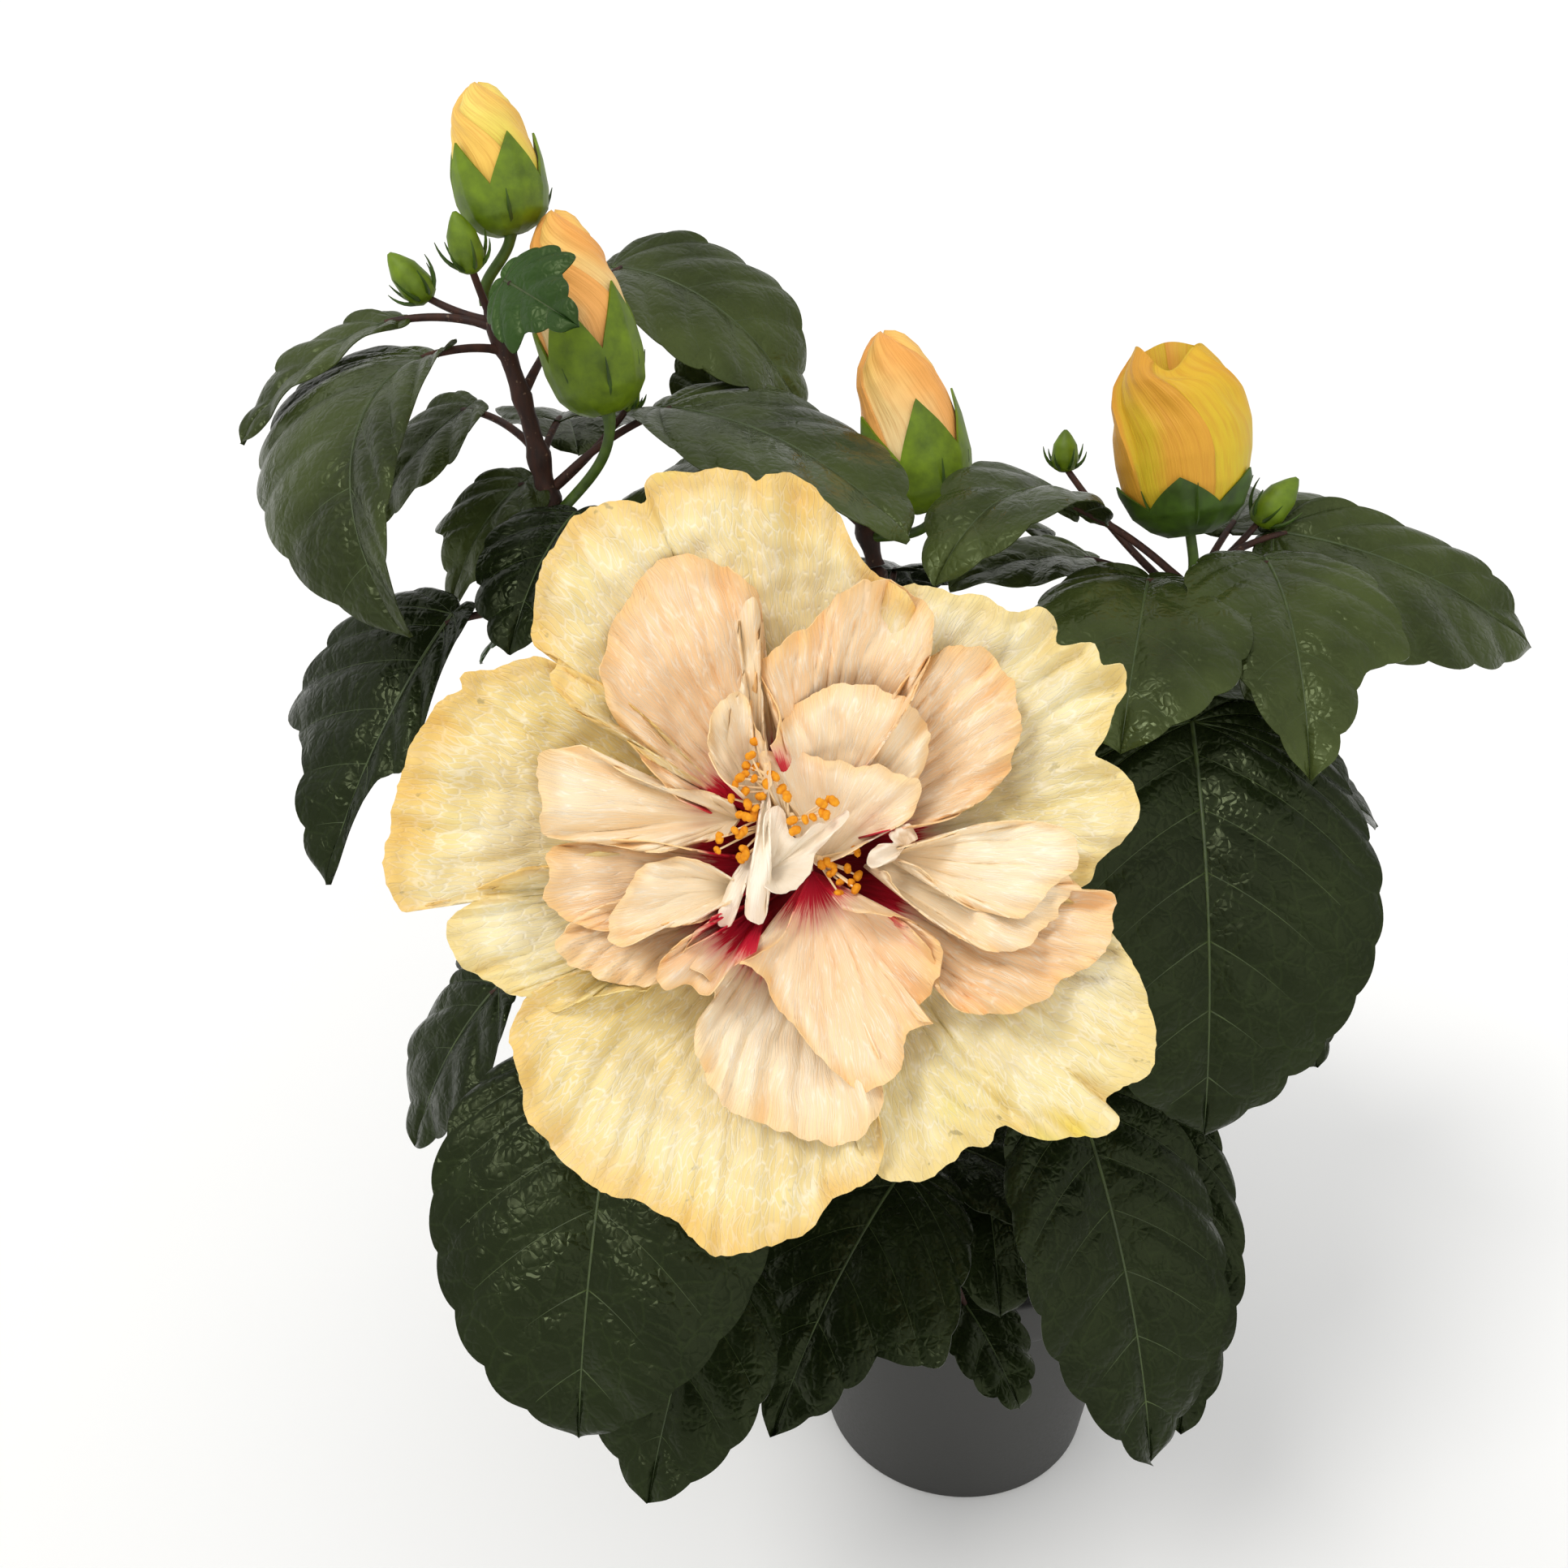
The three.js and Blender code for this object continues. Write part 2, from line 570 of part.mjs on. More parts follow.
// A leaf's blade: a thin closed plate on spokes from its foot, folded along the midrib and curled down
function blade(foot, { blade: [compass, lift, length], fall, ...form }) {
  const { width = LEAF.width, halves = [1, 1], roll = 0, sway = 0, lobed = false } = form;
  const ahead = heading(compass, lift);
  const side = vec(-Math.sin(rad(compass)), Math.cos(rad(compass)), 0).applyAxisAngle(ahead, rad(roll));
  const up = ahead.clone().cross(side);
  const bend = rad(fall);
  const margin = lobed ? LOBED : OVATE;
  const small = length < LEAF.small;
  const shares = small ? [1] : [0.5, 1];
  const half = small ? SMALL.map((i) => margin[i]) : margin;
  const spokes = [...half, ...half.slice(1, -1).reverse().map(([angle, reach]) => [-angle, reach])];
  const skins = [1, -1].map((face) => {
    const spot = (reach, angle) => {
      const u = reach * Math.cos(rad(angle));
      const y = width * halves[angle > 0 ? 0 : 1] * reach * Math.sin(rad(angle));
      const normal = up.clone().multiplyScalar(Math.cos(bend * u));
      normal.addScaledVector(ahead, Math.sin(bend * u));
      const point = along(foot, ahead, (length * Math.sin(bend * u)) / bend);
      point.addScaledVector(up, (-length * (1 - Math.cos(bend * u))) / bend);
      point.addScaledVector(side, (y - sway * u * u) * length);
      const rise = LEAF.fold * Math.abs(y) - LEAF.droop * y * y;
      return point.addScaledVector(normal, rise * length + (face * LEAF.thickness) / 2);
    };
    const rings = shares.map((share) => spokes.map(([angle, reach]) => spot(share * reach, angle)));
    return { centre: spot(0, 0), rings };
  });
  const positions = [];
  const face = (...points) => points.forEach((p) => positions.push(p.x, p.y, p.z));
  const [top, under] = skins;
  for (let i = 0; i < spokes.length; i++) {
    const j = (i + 1) % spokes.length;
    face(top.centre, top.rings[0][i], top.rings[0][j]);
    face(under.centre, under.rings[0][j], under.rings[0][i]);
    for (let r = 0; r + 1 < shares.length; r++) {
      const [a, b] = [top.rings[r], top.rings[r + 1]];
      const [c, d] = [under.rings[r], under.rings[r + 1]];
      face(a[i], b[i], b[j]);
      face(a[i], b[j], a[j]);
      face(c[i], d[j], d[i]);
      face(c[i], c[j], d[j]);
    }
    const last = shares.length - 1;
    face(top.rings[last][i], under.rings[last][i], under.rings[last][j]);
    face(top.rings[last][i], under.rings[last][j], top.rings[last][j]);
  }
  const geometry = new THREE.BufferGeometry();
  geometry.setAttribute("position", new THREE.Float32BufferAttribute(positions, 3));
  return solidOf(geometry);
}

function leaf(shoot, spec) {
  const [compass, lift, length] = spec.petiole;
  const node = shoot.getPointAt(spec.at);
  const foot = along(node, heading(compass, lift), length);
  const control = node.clone().lerp(foot, 0.5);
  control.z += PETIOLE.arch * length;
  const end = along(foot, heading(spec.blade[0], spec.blade[1]), PETIOLE.sunk);
  return limb(new THREE.QuadraticBezierCurve3(node, control, end), PETIOLE).add(blade(foot, spec));
}

// The leaves by rule: up the shoot from one share of its length to another, sizes by the seed
function leavesByRule({ count, seed, from, to, turn, size }) {
  const pick = seeded(seed);
  return Array.from({ length: count }, (_, i) => {
    const compass = turn + GOLDEN_ANGLE * i + pick(...RULE.stray);
    const rise = pick(...RULE.rise);
    const length = pick(...size);
    return {
      at: THREE.MathUtils.lerp(from, to, i / Math.max(count - 1, 1)),
      petiole: [compass, rise, length * pick(...RULE.petiole)],
      blade: [compass + pick(...RULE.aside), rise - pick(...RULE.dip), length],
      fall: pick(...RULE.fall),
      lobed: pick(0, 1) < RULE.lobed,
    };
  });
}

// Rings square to a way, each with its height and radius by the number of the point on it
function ringsRound(foot, way, sides, rings) {
  const across = vec(0, 0, 1).cross(way).normalize();
  const beyond = way.clone().cross(across);
  return rings.map(({ height, radius, twist = 0 }) =>
    Array.from({ length: sides }, (_, i) => {
      const turn = (2 * Math.PI * i) / sides + twist;
      return along(foot, way, height(i))
        .addScaledVector(across, radius(i) * Math.cos(turn))
        .addScaledVector(beyond, radius(i) * Math.sin(turn));
    }),
  );
}

const plainRing = (height, radius) => ({ height: () => height, radius: () => radius });

// Calyx with pointed sepals, and above it the petals: closed, or opening with each over the next one's edge
function budBody(foot, way, length, radius, open) {
  const { sepals, sepalTop, notch, openCalyx, edge, overlap, twist, calyx, closed, opening } = BUD;
  const low = open ? openCalyx : 1;
  const sepalEdge = (i) => low * sepalTop * length * (i % 2 ? notch : 1);
  const folds = (i) => 1 + overlap * ((i % sepals) / (sepals - 1) - 0.5);
  const closedRing = ([height, wide]) => plainRing(height * length, wide * radius);
  const openRing = ([height, wide]) => ({
    height: () => height * length,
    radius: (i) => wide * radius * folds(i),
    twist: twist * height,
  });
  const rings = [
    ...calyx.map(([height, wide]) => plainRing(low * height * length, wide * radius)),
    ...edge.map((wide) => ({ height: sepalEdge, radius: () => wide * radius })),
    ...(open ? opening.map(openRing) : closed.map(closedRing)),
  ];
  return solidOf(skinOfRings(ringsRound(foot, way, sepals * 2, rings)));
}

function smallBud(shoot, { at, stalk: [compass, lift, reach], face, length, radius }) {
  const node = shoot.getPointAt(at);
  const foot = along(node, heading(compass, lift), reach);
  const control = node.clone().lerp(foot, 0.5);
  control.z -= reach * SMALL_BUD.sag;
  const way = heading(...face);
  const curve = new THREE.QuadraticBezierCurve3(node, control, along(foot, way, SMALL_BUD.sunk));
  const rings = SMALL_BUD.rings.map(([height, wide]) => plainRing(height * length, wide * radius));
  const body = skinOfRings(ringsRound(foot, way, SMALL_BUD.sides, rings));
  return limb(curve, SMALL_BUD.stalk).add(solidOf(body));
}

function bud(shoot, { at, foot: footAt, tip: tipAt, radius, open = false }) {
  const [foot, tip] = [vec(...footAt), vec(...tipAt)];
  const way = tip.clone().sub(foot);
  const length = way.length();
  way.normalize();
  const leaving = shoot.getTangentAt(at);
  const start = at === 1 ? along(shoot.getPointAt(1), leaving, GAP) : shoot.getPointAt(at);
  const span = start.distanceTo(foot);
  const aside = along(start.clone().lerp(foot, STALK.leave), vec(0, 0, 1), -STALK.sag);
  const curve = new THREE.CubicBezierCurve3(
    start,
    at === 1 ? along(start, leaving, span * STALK.handles[0]) : aside,
    along(foot, way, -span * STALK.handles[1]),
    along(foot, way, STALK.sunk),
  );
  const whole = limb(curve, STALK).add(budBody(foot, way, length, radius, open));
  return mainBody(at === 1 ? whole : whole.subtract(limb(shoot, SHOOT, GAP)));
}

// The bloom
const axis = vec(0, -Math.cos(rad(BLOOM.tilt)), Math.sin(rad(BLOOM.tilt)));
const upward = vec(0, Math.sin(rad(BLOOM.tilt)), Math.cos(rad(BLOOM.tilt)));
const throat = vec(...BLOOM.throat);
const heart = along(throat, axis, -BLOOM.depth);
const outward = (turn) => vec(Math.cos(rad(turn)), 0, 0).addScaledVector(upward, Math.sin(rad(turn)));

function petal({ turn, reach, half, open, ruffle, waves, phase, cup = PETAL.cup, twist = 0 }) {
  const out = outward(turn);
  const across = axis.clone().cross(out);
  const [low, high] = open.map(rad);
  const bend = high - low;
  const small = reach < PETAL.small;
  const [claw, root] = small ? PETAL.smallClaw : PETAL.claw;
  const start = along(heart, out, root);
  const length = ((reach - root) * bend) / (Math.cos(low) - Math.cos(high));
  const place = (u, v) => {
    const s = u * (1 - PETAL.tipRound * u * (1 - Math.sqrt(Math.max(1 - v * v, 0))));
    const angle = low + bend * s;
    const ahead = axis.clone().multiplyScalar(Math.cos(angle)).addScaledVector(out, Math.sin(angle));
    const point = along(start, out, (length * (Math.cos(low) - Math.cos(angle))) / bend);
    point.addScaledVector(axis, (length * (Math.sin(angle) - Math.sin(low))) / bend);
    const wide = half * (claw + (1 - claw) * Math.sin((Math.PI / 2) * Math.pow(s, PETAL.widen)));
    const lean = across.clone().applyAxisAngle(ahead, rad(twist) * s);
    const face = ahead.clone().cross(lean).negate();
    const wave = ruffle * s ** 3 * Math.sin(waves * Math.PI * v + phase);
    return point.addScaledVector(lean, wide * v).addScaledVector(face, wave - cup * wide * v * v);
  };
  return plate(place, ...(small ? PETAL.smallGrid : PETAL.grid), PETAL.thickness);
}

// The column out of the throat, with threads that each carry an anther
function stamens() {
  const { column, filament, anther, count, seed, from, to, spread, length } = STAMENS;
  const tip = along(throat, axis, column.beyond);
  const parts = [limb(new THREE.LineCurve3(heart, tip), column)];
  const pick = seeded(seed);
  for (let i = 0; i < count; i++) {
    const lean = rad(pick(...spread));
    const way = axis.clone().multiplyScalar(Math.cos(lean));
    way.addScaledVector(outward(GOLDEN_ANGLE * i), Math.sin(lean));
    const root = heart.clone().lerp(tip, THREE.MathUtils.lerp(from, to, i / count));
    const end = along(root, way, pick(...length));
    parts.push(limb(new THREE.LineCurve3(root, end), filament));
    parts.push(solidOf(new THREE.OctahedronGeometry(anther).translate(...end)));
  }
  return joined(parts);
}

// The stalk from the front bough's tip, the calyx, the petals and the stamens, fused
function bloom() {
  const { stalk, calyx, under, inside } = BLOOM;
  const bough = boughCurves.bough_front;
  const way = bough.getTangentAt(1);
  const start = along(bough.getPointAt(1), way, GAP);
  const back = along(heart, axis, -calyx.length);
  const span = start.distanceTo(back);
  const curve = new THREE.CubicBezierCurve3(
    start,
    along(start, way, span * stalk.handle),
    along(back, axis, -span * stalk.handle),
    along(back, axis, stalk.sunk),
  );
  const calyxRing = ([height, wide]) => plainRing(height * calyx.length, wide * calyx.radius);
  const sepalEdge = (i) => calyx.length * calyx.sepals[i % 2];
  const rings = [
    ...under.map(calyxRing),
    ...calyx.edge.map((wide) => ({ height: sepalEdge, radius: () => wide * calyx.radius })),
    ...inside.map(calyxRing),
  ];
  return joined([
    limb(curve, stalk),
    solidOf(skinOfRings(ringsRound(back, axis, BUD.sepals * 2, rings))),
    ...OUTER_PETALS.map(petal),
    ...INNER_PETALS.map(petal),
    stamens(),
  ]);
}

// The plant: a leaf or bud that would touch a limb, or what was placed before it, is skipped, and so is a
// leaf by rule that would leave the crown
const shoots = {};
for (const [name, mass] of Object.entries(MASSES)) {
  shoots[name] = shootCurve(mass);
}

const pieces = { pot: [pot(), "pot"], soil: [soil(), "soil"], main_stem: [trunk(), "bark"] };
for (const [name, solid] of Object.entries(boughs)) {
  pieces[name] = [solid, "bark"];
}
pieces.bloom = [tidied(bloom()), "petal"];
for (const [name, spec] of Object.entries(BUDS)) {
  pieces[name] = [tidied(bud(shoots[spec.mass], spec)), "bud"];
}

const free = (solid) => Object.values(pieces).every(([other]) => solid.minGap(other, 1) >= GAP);

function inCrown(solid) {
  const { min, max } = solid.boundingBox();
  const reach = Math.hypot(Math.max(-min[0], max[0]), Math.max(-min[1], max[1]));
  return min[2] > CROWN.low && max[2] < CROWN.top && reach < CROWN.radius;
}

for (const [name, { leaves, more, buds }] of Object.entries(MASSES)) {
  const shoot = shoots[name];
  const grown = [
    ...leaves.map((spec) => leaf(shoot, spec)),
    ...leavesByRule(more).map((spec) => leaf(shoot, spec)).filter(inCrown),
    ...buds.map((spec) => smallBud(shoot, spec)),
  ];
  pieces[name] = [tidied(joined([limb(shoot, SHOOT), ...grown.filter(free)])), "leaf"];
}

const group = new THREE.Group();
group.name = "potted_hibiscus";
for (const [name, [solid, colour]] of Object.entries(pieces)) {
  const [color, roughness] = COLOURS[colour];
  const mesh = new THREE.Mesh(geometryOf(solid), new THREE.MeshStandardMaterial({ color, roughness }));
  mesh.name = name;
  group.add(mesh);
}

export default group;
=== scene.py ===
import math

import bpy
import numpy as np
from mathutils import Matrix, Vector, noise
from mathutils.bvhtree import BVHTree


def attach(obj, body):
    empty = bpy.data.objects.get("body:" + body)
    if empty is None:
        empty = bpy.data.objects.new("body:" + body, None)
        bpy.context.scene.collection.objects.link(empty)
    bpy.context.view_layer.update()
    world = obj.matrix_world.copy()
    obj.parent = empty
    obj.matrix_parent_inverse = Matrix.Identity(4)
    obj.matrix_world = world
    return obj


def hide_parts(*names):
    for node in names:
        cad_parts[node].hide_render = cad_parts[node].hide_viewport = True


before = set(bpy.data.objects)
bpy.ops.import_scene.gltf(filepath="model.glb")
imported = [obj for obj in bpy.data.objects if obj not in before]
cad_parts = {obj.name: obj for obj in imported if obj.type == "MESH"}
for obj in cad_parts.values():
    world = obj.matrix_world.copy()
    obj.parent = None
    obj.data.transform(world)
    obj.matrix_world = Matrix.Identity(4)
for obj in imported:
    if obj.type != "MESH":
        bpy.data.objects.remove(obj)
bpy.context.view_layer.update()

MM = 0.001
GAP = 0.3  # free space between neighbouring solids
GOLDEN_ANGLE = 137.5

# The camera: its place, how far it looks down, focal length and image width in pixels, and its sensor
CAMERA = {"place": (-60.5, -411.6, 487.1), "down": 30, "focal": 2071, "image": 1932, "sensor": 36}

# The growth that the solids follow
TRUNK = {
    "height": 66,
    "radii": [10.4, 8.4, 7.4, 7, 6.6, 6.2, 5.9, 5.5, 5.2],
    "lean": (-8, 3),
    "down": (0.1, -0.05, -1),
    "handles": (0.4, 0.35),
}
BOUGH_HANDLES = (0.38, 0.3)
SHOOT = {"radii": (2.4, 1.8), "handle": 0.5}
STALK = {"handles": (0.4, 0.3), "sunk": 2, "leave": 0.45, "sag": 3}
PETIOLE = {"sunk": 3, "arch": 0.14}
LEAF = {"width": 0.85, "fold": 0.2, "droop": 0.6}
# Outlines of a plain and of a lobed leaf: its reach at each angle off its tip's direction
OVATE = [(0, 1), (17, 0.84), (33, 0.69), (54, 0.48), (80, 0.27), (120, 0.1), (180, 0.03)]
LOBED = [(0, 1), (23, 0.65), (41, 0.72), (56, 0.5), (85, 0.28), (125, 0.12), (180, 0.03)]
RULE = {
    "stray": (-14, 14),
    "rise": (5, 30),
    "petiole": (0.35, 0.5),
    "aside": (-15, 15),
    "dip": (12, 30),
    "fall": (35, 65),
    "lobed": 0.35,
}

# Boughs: takeoff (share of the trunk's height), leave (lift), tip, radii, and the point they end towards
BOUGHS = {
    "bough_left": (0.84, 38, (-119, -11, 330), (4.4, 2.4), (-120, -11, 346)),
    "bough_middle": (1, 75, (-36, 8, 312), (4, 2.4), (-41, 15, 332)),
    "bough_right": (0.7, 50, (41, -18, 303), (4.2, 2.4), (42, -20, 321)),
    "bough_left_low": (0.6, 35, (-80, -55, 205), (3.8, 2.4), (-100, -46, 262)),
    "bough_front": (0.78, 40, (-47, -72, 245), (4.2, 2.6), (-49, -78, 258)),
    "bough_front_low": (0.36, 30, (-28, -45, 148), (3.4, 2.4), (-36, -58, 166)),
    "bough_right_low": (0.5, 35, (34, -40, 185), (3.8, 2.4), (36, -42, 230)),
    "bough_back_left": (0.74, 40, (-40, 38, 194), (3.8, 2.4), (-44, 42, 214)),
    "bough_back_right": (0.66, 40, (31, 36, 184), (3.8, 2.4), (35, 41, 204)),
    "bough_back_low": (0.42, 32, (-6, 38, 146), (3.4, 2.4), (-8, 50, 166)),
    "bough_left_side": (0.3, 32, (-46, 10, 146), (3.4, 2.4), (-60, 14, 162)),
}


def row(at, petiole, blade, fall, width=LEAF["width"], sway=0, lobed=False, roll=0, halves=(1, 1)):
    """One leaf: where it leaves its shoot, its petiole and blade as (compass, lift, length), and its form."""
    form = {"width": width, "sway": sway, "lobed": lobed, "roll": roll, "halves": halves}
    return {"at": at, "petiole": petiole, "blade": blade, "fall": fall, **form}


def mass(bough, to, more, leaves=(), buds=()):
    """A mass of foliage: the bough that carries its shoot, where the shoot ends, the leaves that follow by
    rule as (count, seed, from, to, turn, size), those set one by one, and its small buds as (at, stalk, face,
    length, radius)."""
    return {"bough": bough, "to": to, "more": more, "leaves": leaves, "buds": buds}


MASSES = {
    "foliage_left": mass(
        "bough_left", (-131, -9, 386), (1, 11, 0.3, 0.75, 95, (50, 60)),
        [
            row(0.8, (211, 5, 19), (236, 2, 80), 95, sway=-0.32, width=0.95, roll=12, halves=(0.5, 1.25)),
            row(0.35, (134, 13, 28), (216, -21, 42), 40),
            row(0.9, (170, 2, 25), (210, -6, 49), 50, width=0.5),
            row(0.85, (284, 40, 30), (304, -3, 26), 30, lobed=True, width=1, roll=50),
            row(0.6, (68, 22, 54), (331, 5, 68), 80, roll=14),
            row(0.16, (17, 33, 36), (331, 5, 76), 40, sway=0.08),
            row(0.12, (137, 30, 9), (226, -17, 40), 60, lobed=True),
        ],
        [
            (0.93, (158, 10, 18), (174, 52), 14, 4.6),
            (0.8, (234, 67, 22), (200, 78), 14, 4.4),
            (0.16, (22, 40, 29), (60, 70), 8, 2.6),
        ],
    ),
    "foliage_middle": mass(
        "bough_middle", (-43, 17, 336), (2, 23, 0.3, 0.8, 60, (50, 62)),
        [
            row(0.4, (172, 28, 42), (102, 49, 38), 20),
            row(0.6, (150, 40, 24), (306, -12, 26), 30),
        ],
    ),
    "foliage_right": mass(
        "bough_right", (42, -20, 321), (1, 37, 0.45, 0.8, 70, (52, 62)),
        [
            row(0.8, (158, 28, 34), (222, 52, 62), 115, width=0.7),
            row(0.5, (140, 12, 28), (204, 19, 44), 40),
            row(0.6, (220, 33, 20), (255, 9, 60), 60, width=1.05),
            row(0.7, (334, 37, 22), (271, 0, 66), 60, lobed=True, width=0.85),
            row(0.9, (30, 18, 28), (338, 0, 74), 45, width=0.9, roll=22, halves=(0.55, 1.15)),
            row(0.4, (45, -28, 30), (328, -45, 34), 30),
        ],
        [
            (0.6, (128, 26, 50), (100, 80), 11, 4),
            (0.8, (36, 28, 26), (10, 52), 15, 5),
        ],
    ),
    "foliage_left_low": mass(
        "bough_left_low", (-108, -33, 322), (3, 41, 0.15, 0.7, 150, (58, 72)),
        [
            row(1, (110, 62, 20), (249, -6, 44), 50, width=0.9),
            row(0.75, (130, 34, 36), (176, -31, 25), 30),
            row(0.95, (191, 7, 34), (233, -33, 72), 30, lobed=True, width=0.62, halves=(0.55, 1.7)),
            row(0.12, (258, 22, 64), (262, -22, 86), 50, width=1.1),
            row(0.25, (197, -9, 47), (213, -37, 50), 40),
        ],
    ),
    "foliage_front_low": mass(
        "bough_front_low", (-40, -62, 185), (1, 53, 0.3, 0.6, 352, (50, 58)),
        [
            row(0.7, (302, -10, 16), (235, -14, 77), 45, lobed=True, width=0.95, halves=(1, 0.75)),
            row(0.4, (329, -58, 51), (301, -9, 35), 40),
            row(0.9, (227, -10, 58), (251, -16, 61), 45, width=0.95),
        ],
    ),
    "foliage_right_low": mass(
        "bough_right_low", (38, -44, 285), (2, 67, 0.05, 0.6, 40, (46, 54)),
        [
            row(0.9, (265, 60, 29), (271, -33, 100), 45, width=1),
            row(0.5, (334, -2, 35), (296, -38, 32), 30),
            row(1, (241, -2, 33), (265, -36, 50), 40),
            row(0.12, (239, 11, 42), (286, -27, 97), 45, width=0.68),
            row(0.25, (286, -38, 36), (270, -35, 84), 40, width=0.6, halves=(0.75, 1)),
        ],
    ),
    "foliage_back_left": mass("bough_back_left", (-60, 56, 264), (11, 71, 0.08, 1, 120, (54, 70))),
    "foliage_back_right": mass("bough_back_right", (44, 52, 250), (11, 83, 0.08, 1, 40, (52, 68))),
    "foliage_back_low": mass("bough_back_low", (-9, 56, 188), (8, 97, 0.1, 1, 40, (52, 64))),
    "foliage_left_side": mass("bough_left_side", (-86, 20, 182), (8, 59, 0.1, 1, 200, (50, 62))),
}

# Large buds: the mass whose shoot carries them, where their stalk leaves it, their foot, tip and radius, the
# share of their length under the sepals' tips, whether they are opening, how many degrees the first petal's
# edge is from the camera's side at the foot and how many it turns on to the tip, where the sepals start, as
# a share of one, and the petals' look
BUDS = {
    "bud_left_top": (
        "foliage_left", 1, (-124, -8, 402), (-131, 1, 434), 9.5, 0.62, False, 22, -96, 0.3, "bud_yellow",
    ),
    "bud_left": (
        "foliage_left", 0.03, (-102, -23, 364), (-114, -10, 408), 10.5, 0.6, False, 59, -134, 0.05,
        "bud_peach",
    ),
    "bud_middle": (
        "foliage_middle", 0.3, (-22, -2, 332), (-36, 13, 374), 11.8, 0.6, False, -30, -40, -0.346,
        "bud_peach",
    ),
    "bud_right": (
        "foliage_right", 1, (41, -17, 331), (34, 1, 375), 14, 0.3, True, 29, -60, 0.75, "bud_golden",
    ),
}

# The bloom: its throat, how many degrees its axis rises, how deep it is and its calyx
BLOOM = {"throat": (-57, -127, 305), "tilt": 32, "depth": 22, "calyx": 17, "calyx_radius": 8.5}

# Petals: name, look, foot, how far they stand out of the throat at even steps from foot to margin, how far
# the crimson reaches from the heart, the height, number and phase of the long folds and of the margin's
# ruffles, how cupped they are, and the outline from one side to the other. Foot and outline are (right, up)
# from the throat, seen along the bloom's axis.
UNSTAINED = -40
BACK_DEPTHS = (-12, 3, 10, 12)
OUTER_PETALS = [
    ("top", "petal_outer", (-1, 4), (-14, 2, 10, 11), 24, (1.6, 2.2, 0.4), (1.6, 5, 1.0), 0, [
        (-30, 20), (-38, 26.5), (-43, 28.5), (-46.5, 32), (-49, 36), (-47.5, 39.5), (-52, 42), (-52, 49),
        (-50.5, 57), (-47, 63.5), (-41.5, 68.5), (-35, 70.5), (-30.5, 70), (-30.5, 74), (-26.5, 76),
        (-20.5, 75.8), (-15.5, 76.8), (-11, 75.8), (-9, 74.2), (-7, 75.6), (-2, 75.2), (3, 72), (7.5, 67),
        (10.5, 61), (13.5, 56.5), (18, 54), (22, 50), (22, 40)]),
    ("right_top", "petal_outer_pale", (3, 1), (-15, 0, 8, 9), 24, (1.4, 3.1, 1.1), (2.0, 6, 2.0), 0, [
        (12, 48), (18, 53), (24, 53.8), (30, 52.2), (35, 52), (40.5, 48.2), (46.5, 49.2), (49.5, 46),
        (50, 42), (56.5, 42.5), (58.5, 38.2), (62.5, 38), (63, 33.5), (61, 29.5), (59, 24.5), (57, 20.5),
        (61.5, 18.5), (65, 13.5), (65.5, 8.5), (62, 4), (58.5, 1), (56, -3), (50, -8)]),
    ("right_low", "petal_outer_pale", (2, 2), (-15, -2, 6, 7), 24, (1.5, 2.6, 2.2), (2.0, 6, 0.3), 0, [
        (50, -6), (58, -12), (62.5, -17.5), (66, -25), (68, -32), (68.2, -38.5), (65, -42), (61, -43.5),
        (59, -46.5), (61.2, -50), (58, -52.8), (52.5, -53), (48, -53.6), (43.5, -52.8), (38, -51), (36, -55),
        (31.5, -55), (27, -59), (21.5, -61.6), (15.5, -60.5), (11, -55), (9, -45)]),
    ("bottom", "petal_outer", (-1, -4), (-15, 0, 8, 9), 24, (1.6, 2.4, 3.0), (1.6, 5, 0.8), 0, [
        (12, -42), (15, -50), (15.5, -56), (14, -60.5), (10, -63), (6, -65), (2, -70), (-4, -73),
        (-10, -74.8), (-17, -75), (-21, -72.5), (-24, -69), (-30, -66), (-37, -64), (-42, -61), (-48, -55),
        (-52.5, -50), (-54, -43), (-56, -35), (-55, -29), (-50, -24), (-38, -20)]),
    ("left_low", "petal_outer_pale", (-3, -2), (-14, 0, 6, 8), 22, (1.2, 2, 0.7), (1.2, 4, 0.1), 0, [
        (-30, -25), (-38, -25.5), (-44, -27.5), (-48, -29), (-50.5, -26.2), (-57, -25.5), (-61, -23),
        (-66, -20), (-69, -14), (-67, -10), (-62, -7), (-56, -3.5), (-50, -1.5), (-40, 2)]),
    ("left", "petal_outer", (-4, 1), (-15, 0, 8, 9), 22, (1.4, 2.7, 1.9), (1.3, 5, 2.4), 0, [
        (-40, -4), (-50.5, -1), (-58, -3), (-65, -6.3), (-72, -8.3), (-77.5, -9.7), (-80, -5), (-81, 0),
        (-80, 5), (-79, 12), (-77, 19), (-74, 26), (-70, 31), (-66, 33.5), (-66, 36.3), (-60, 37.3),
        (-53, 39.8), (-48, 38.5), (-38, 34), (-28, 26)]),
]
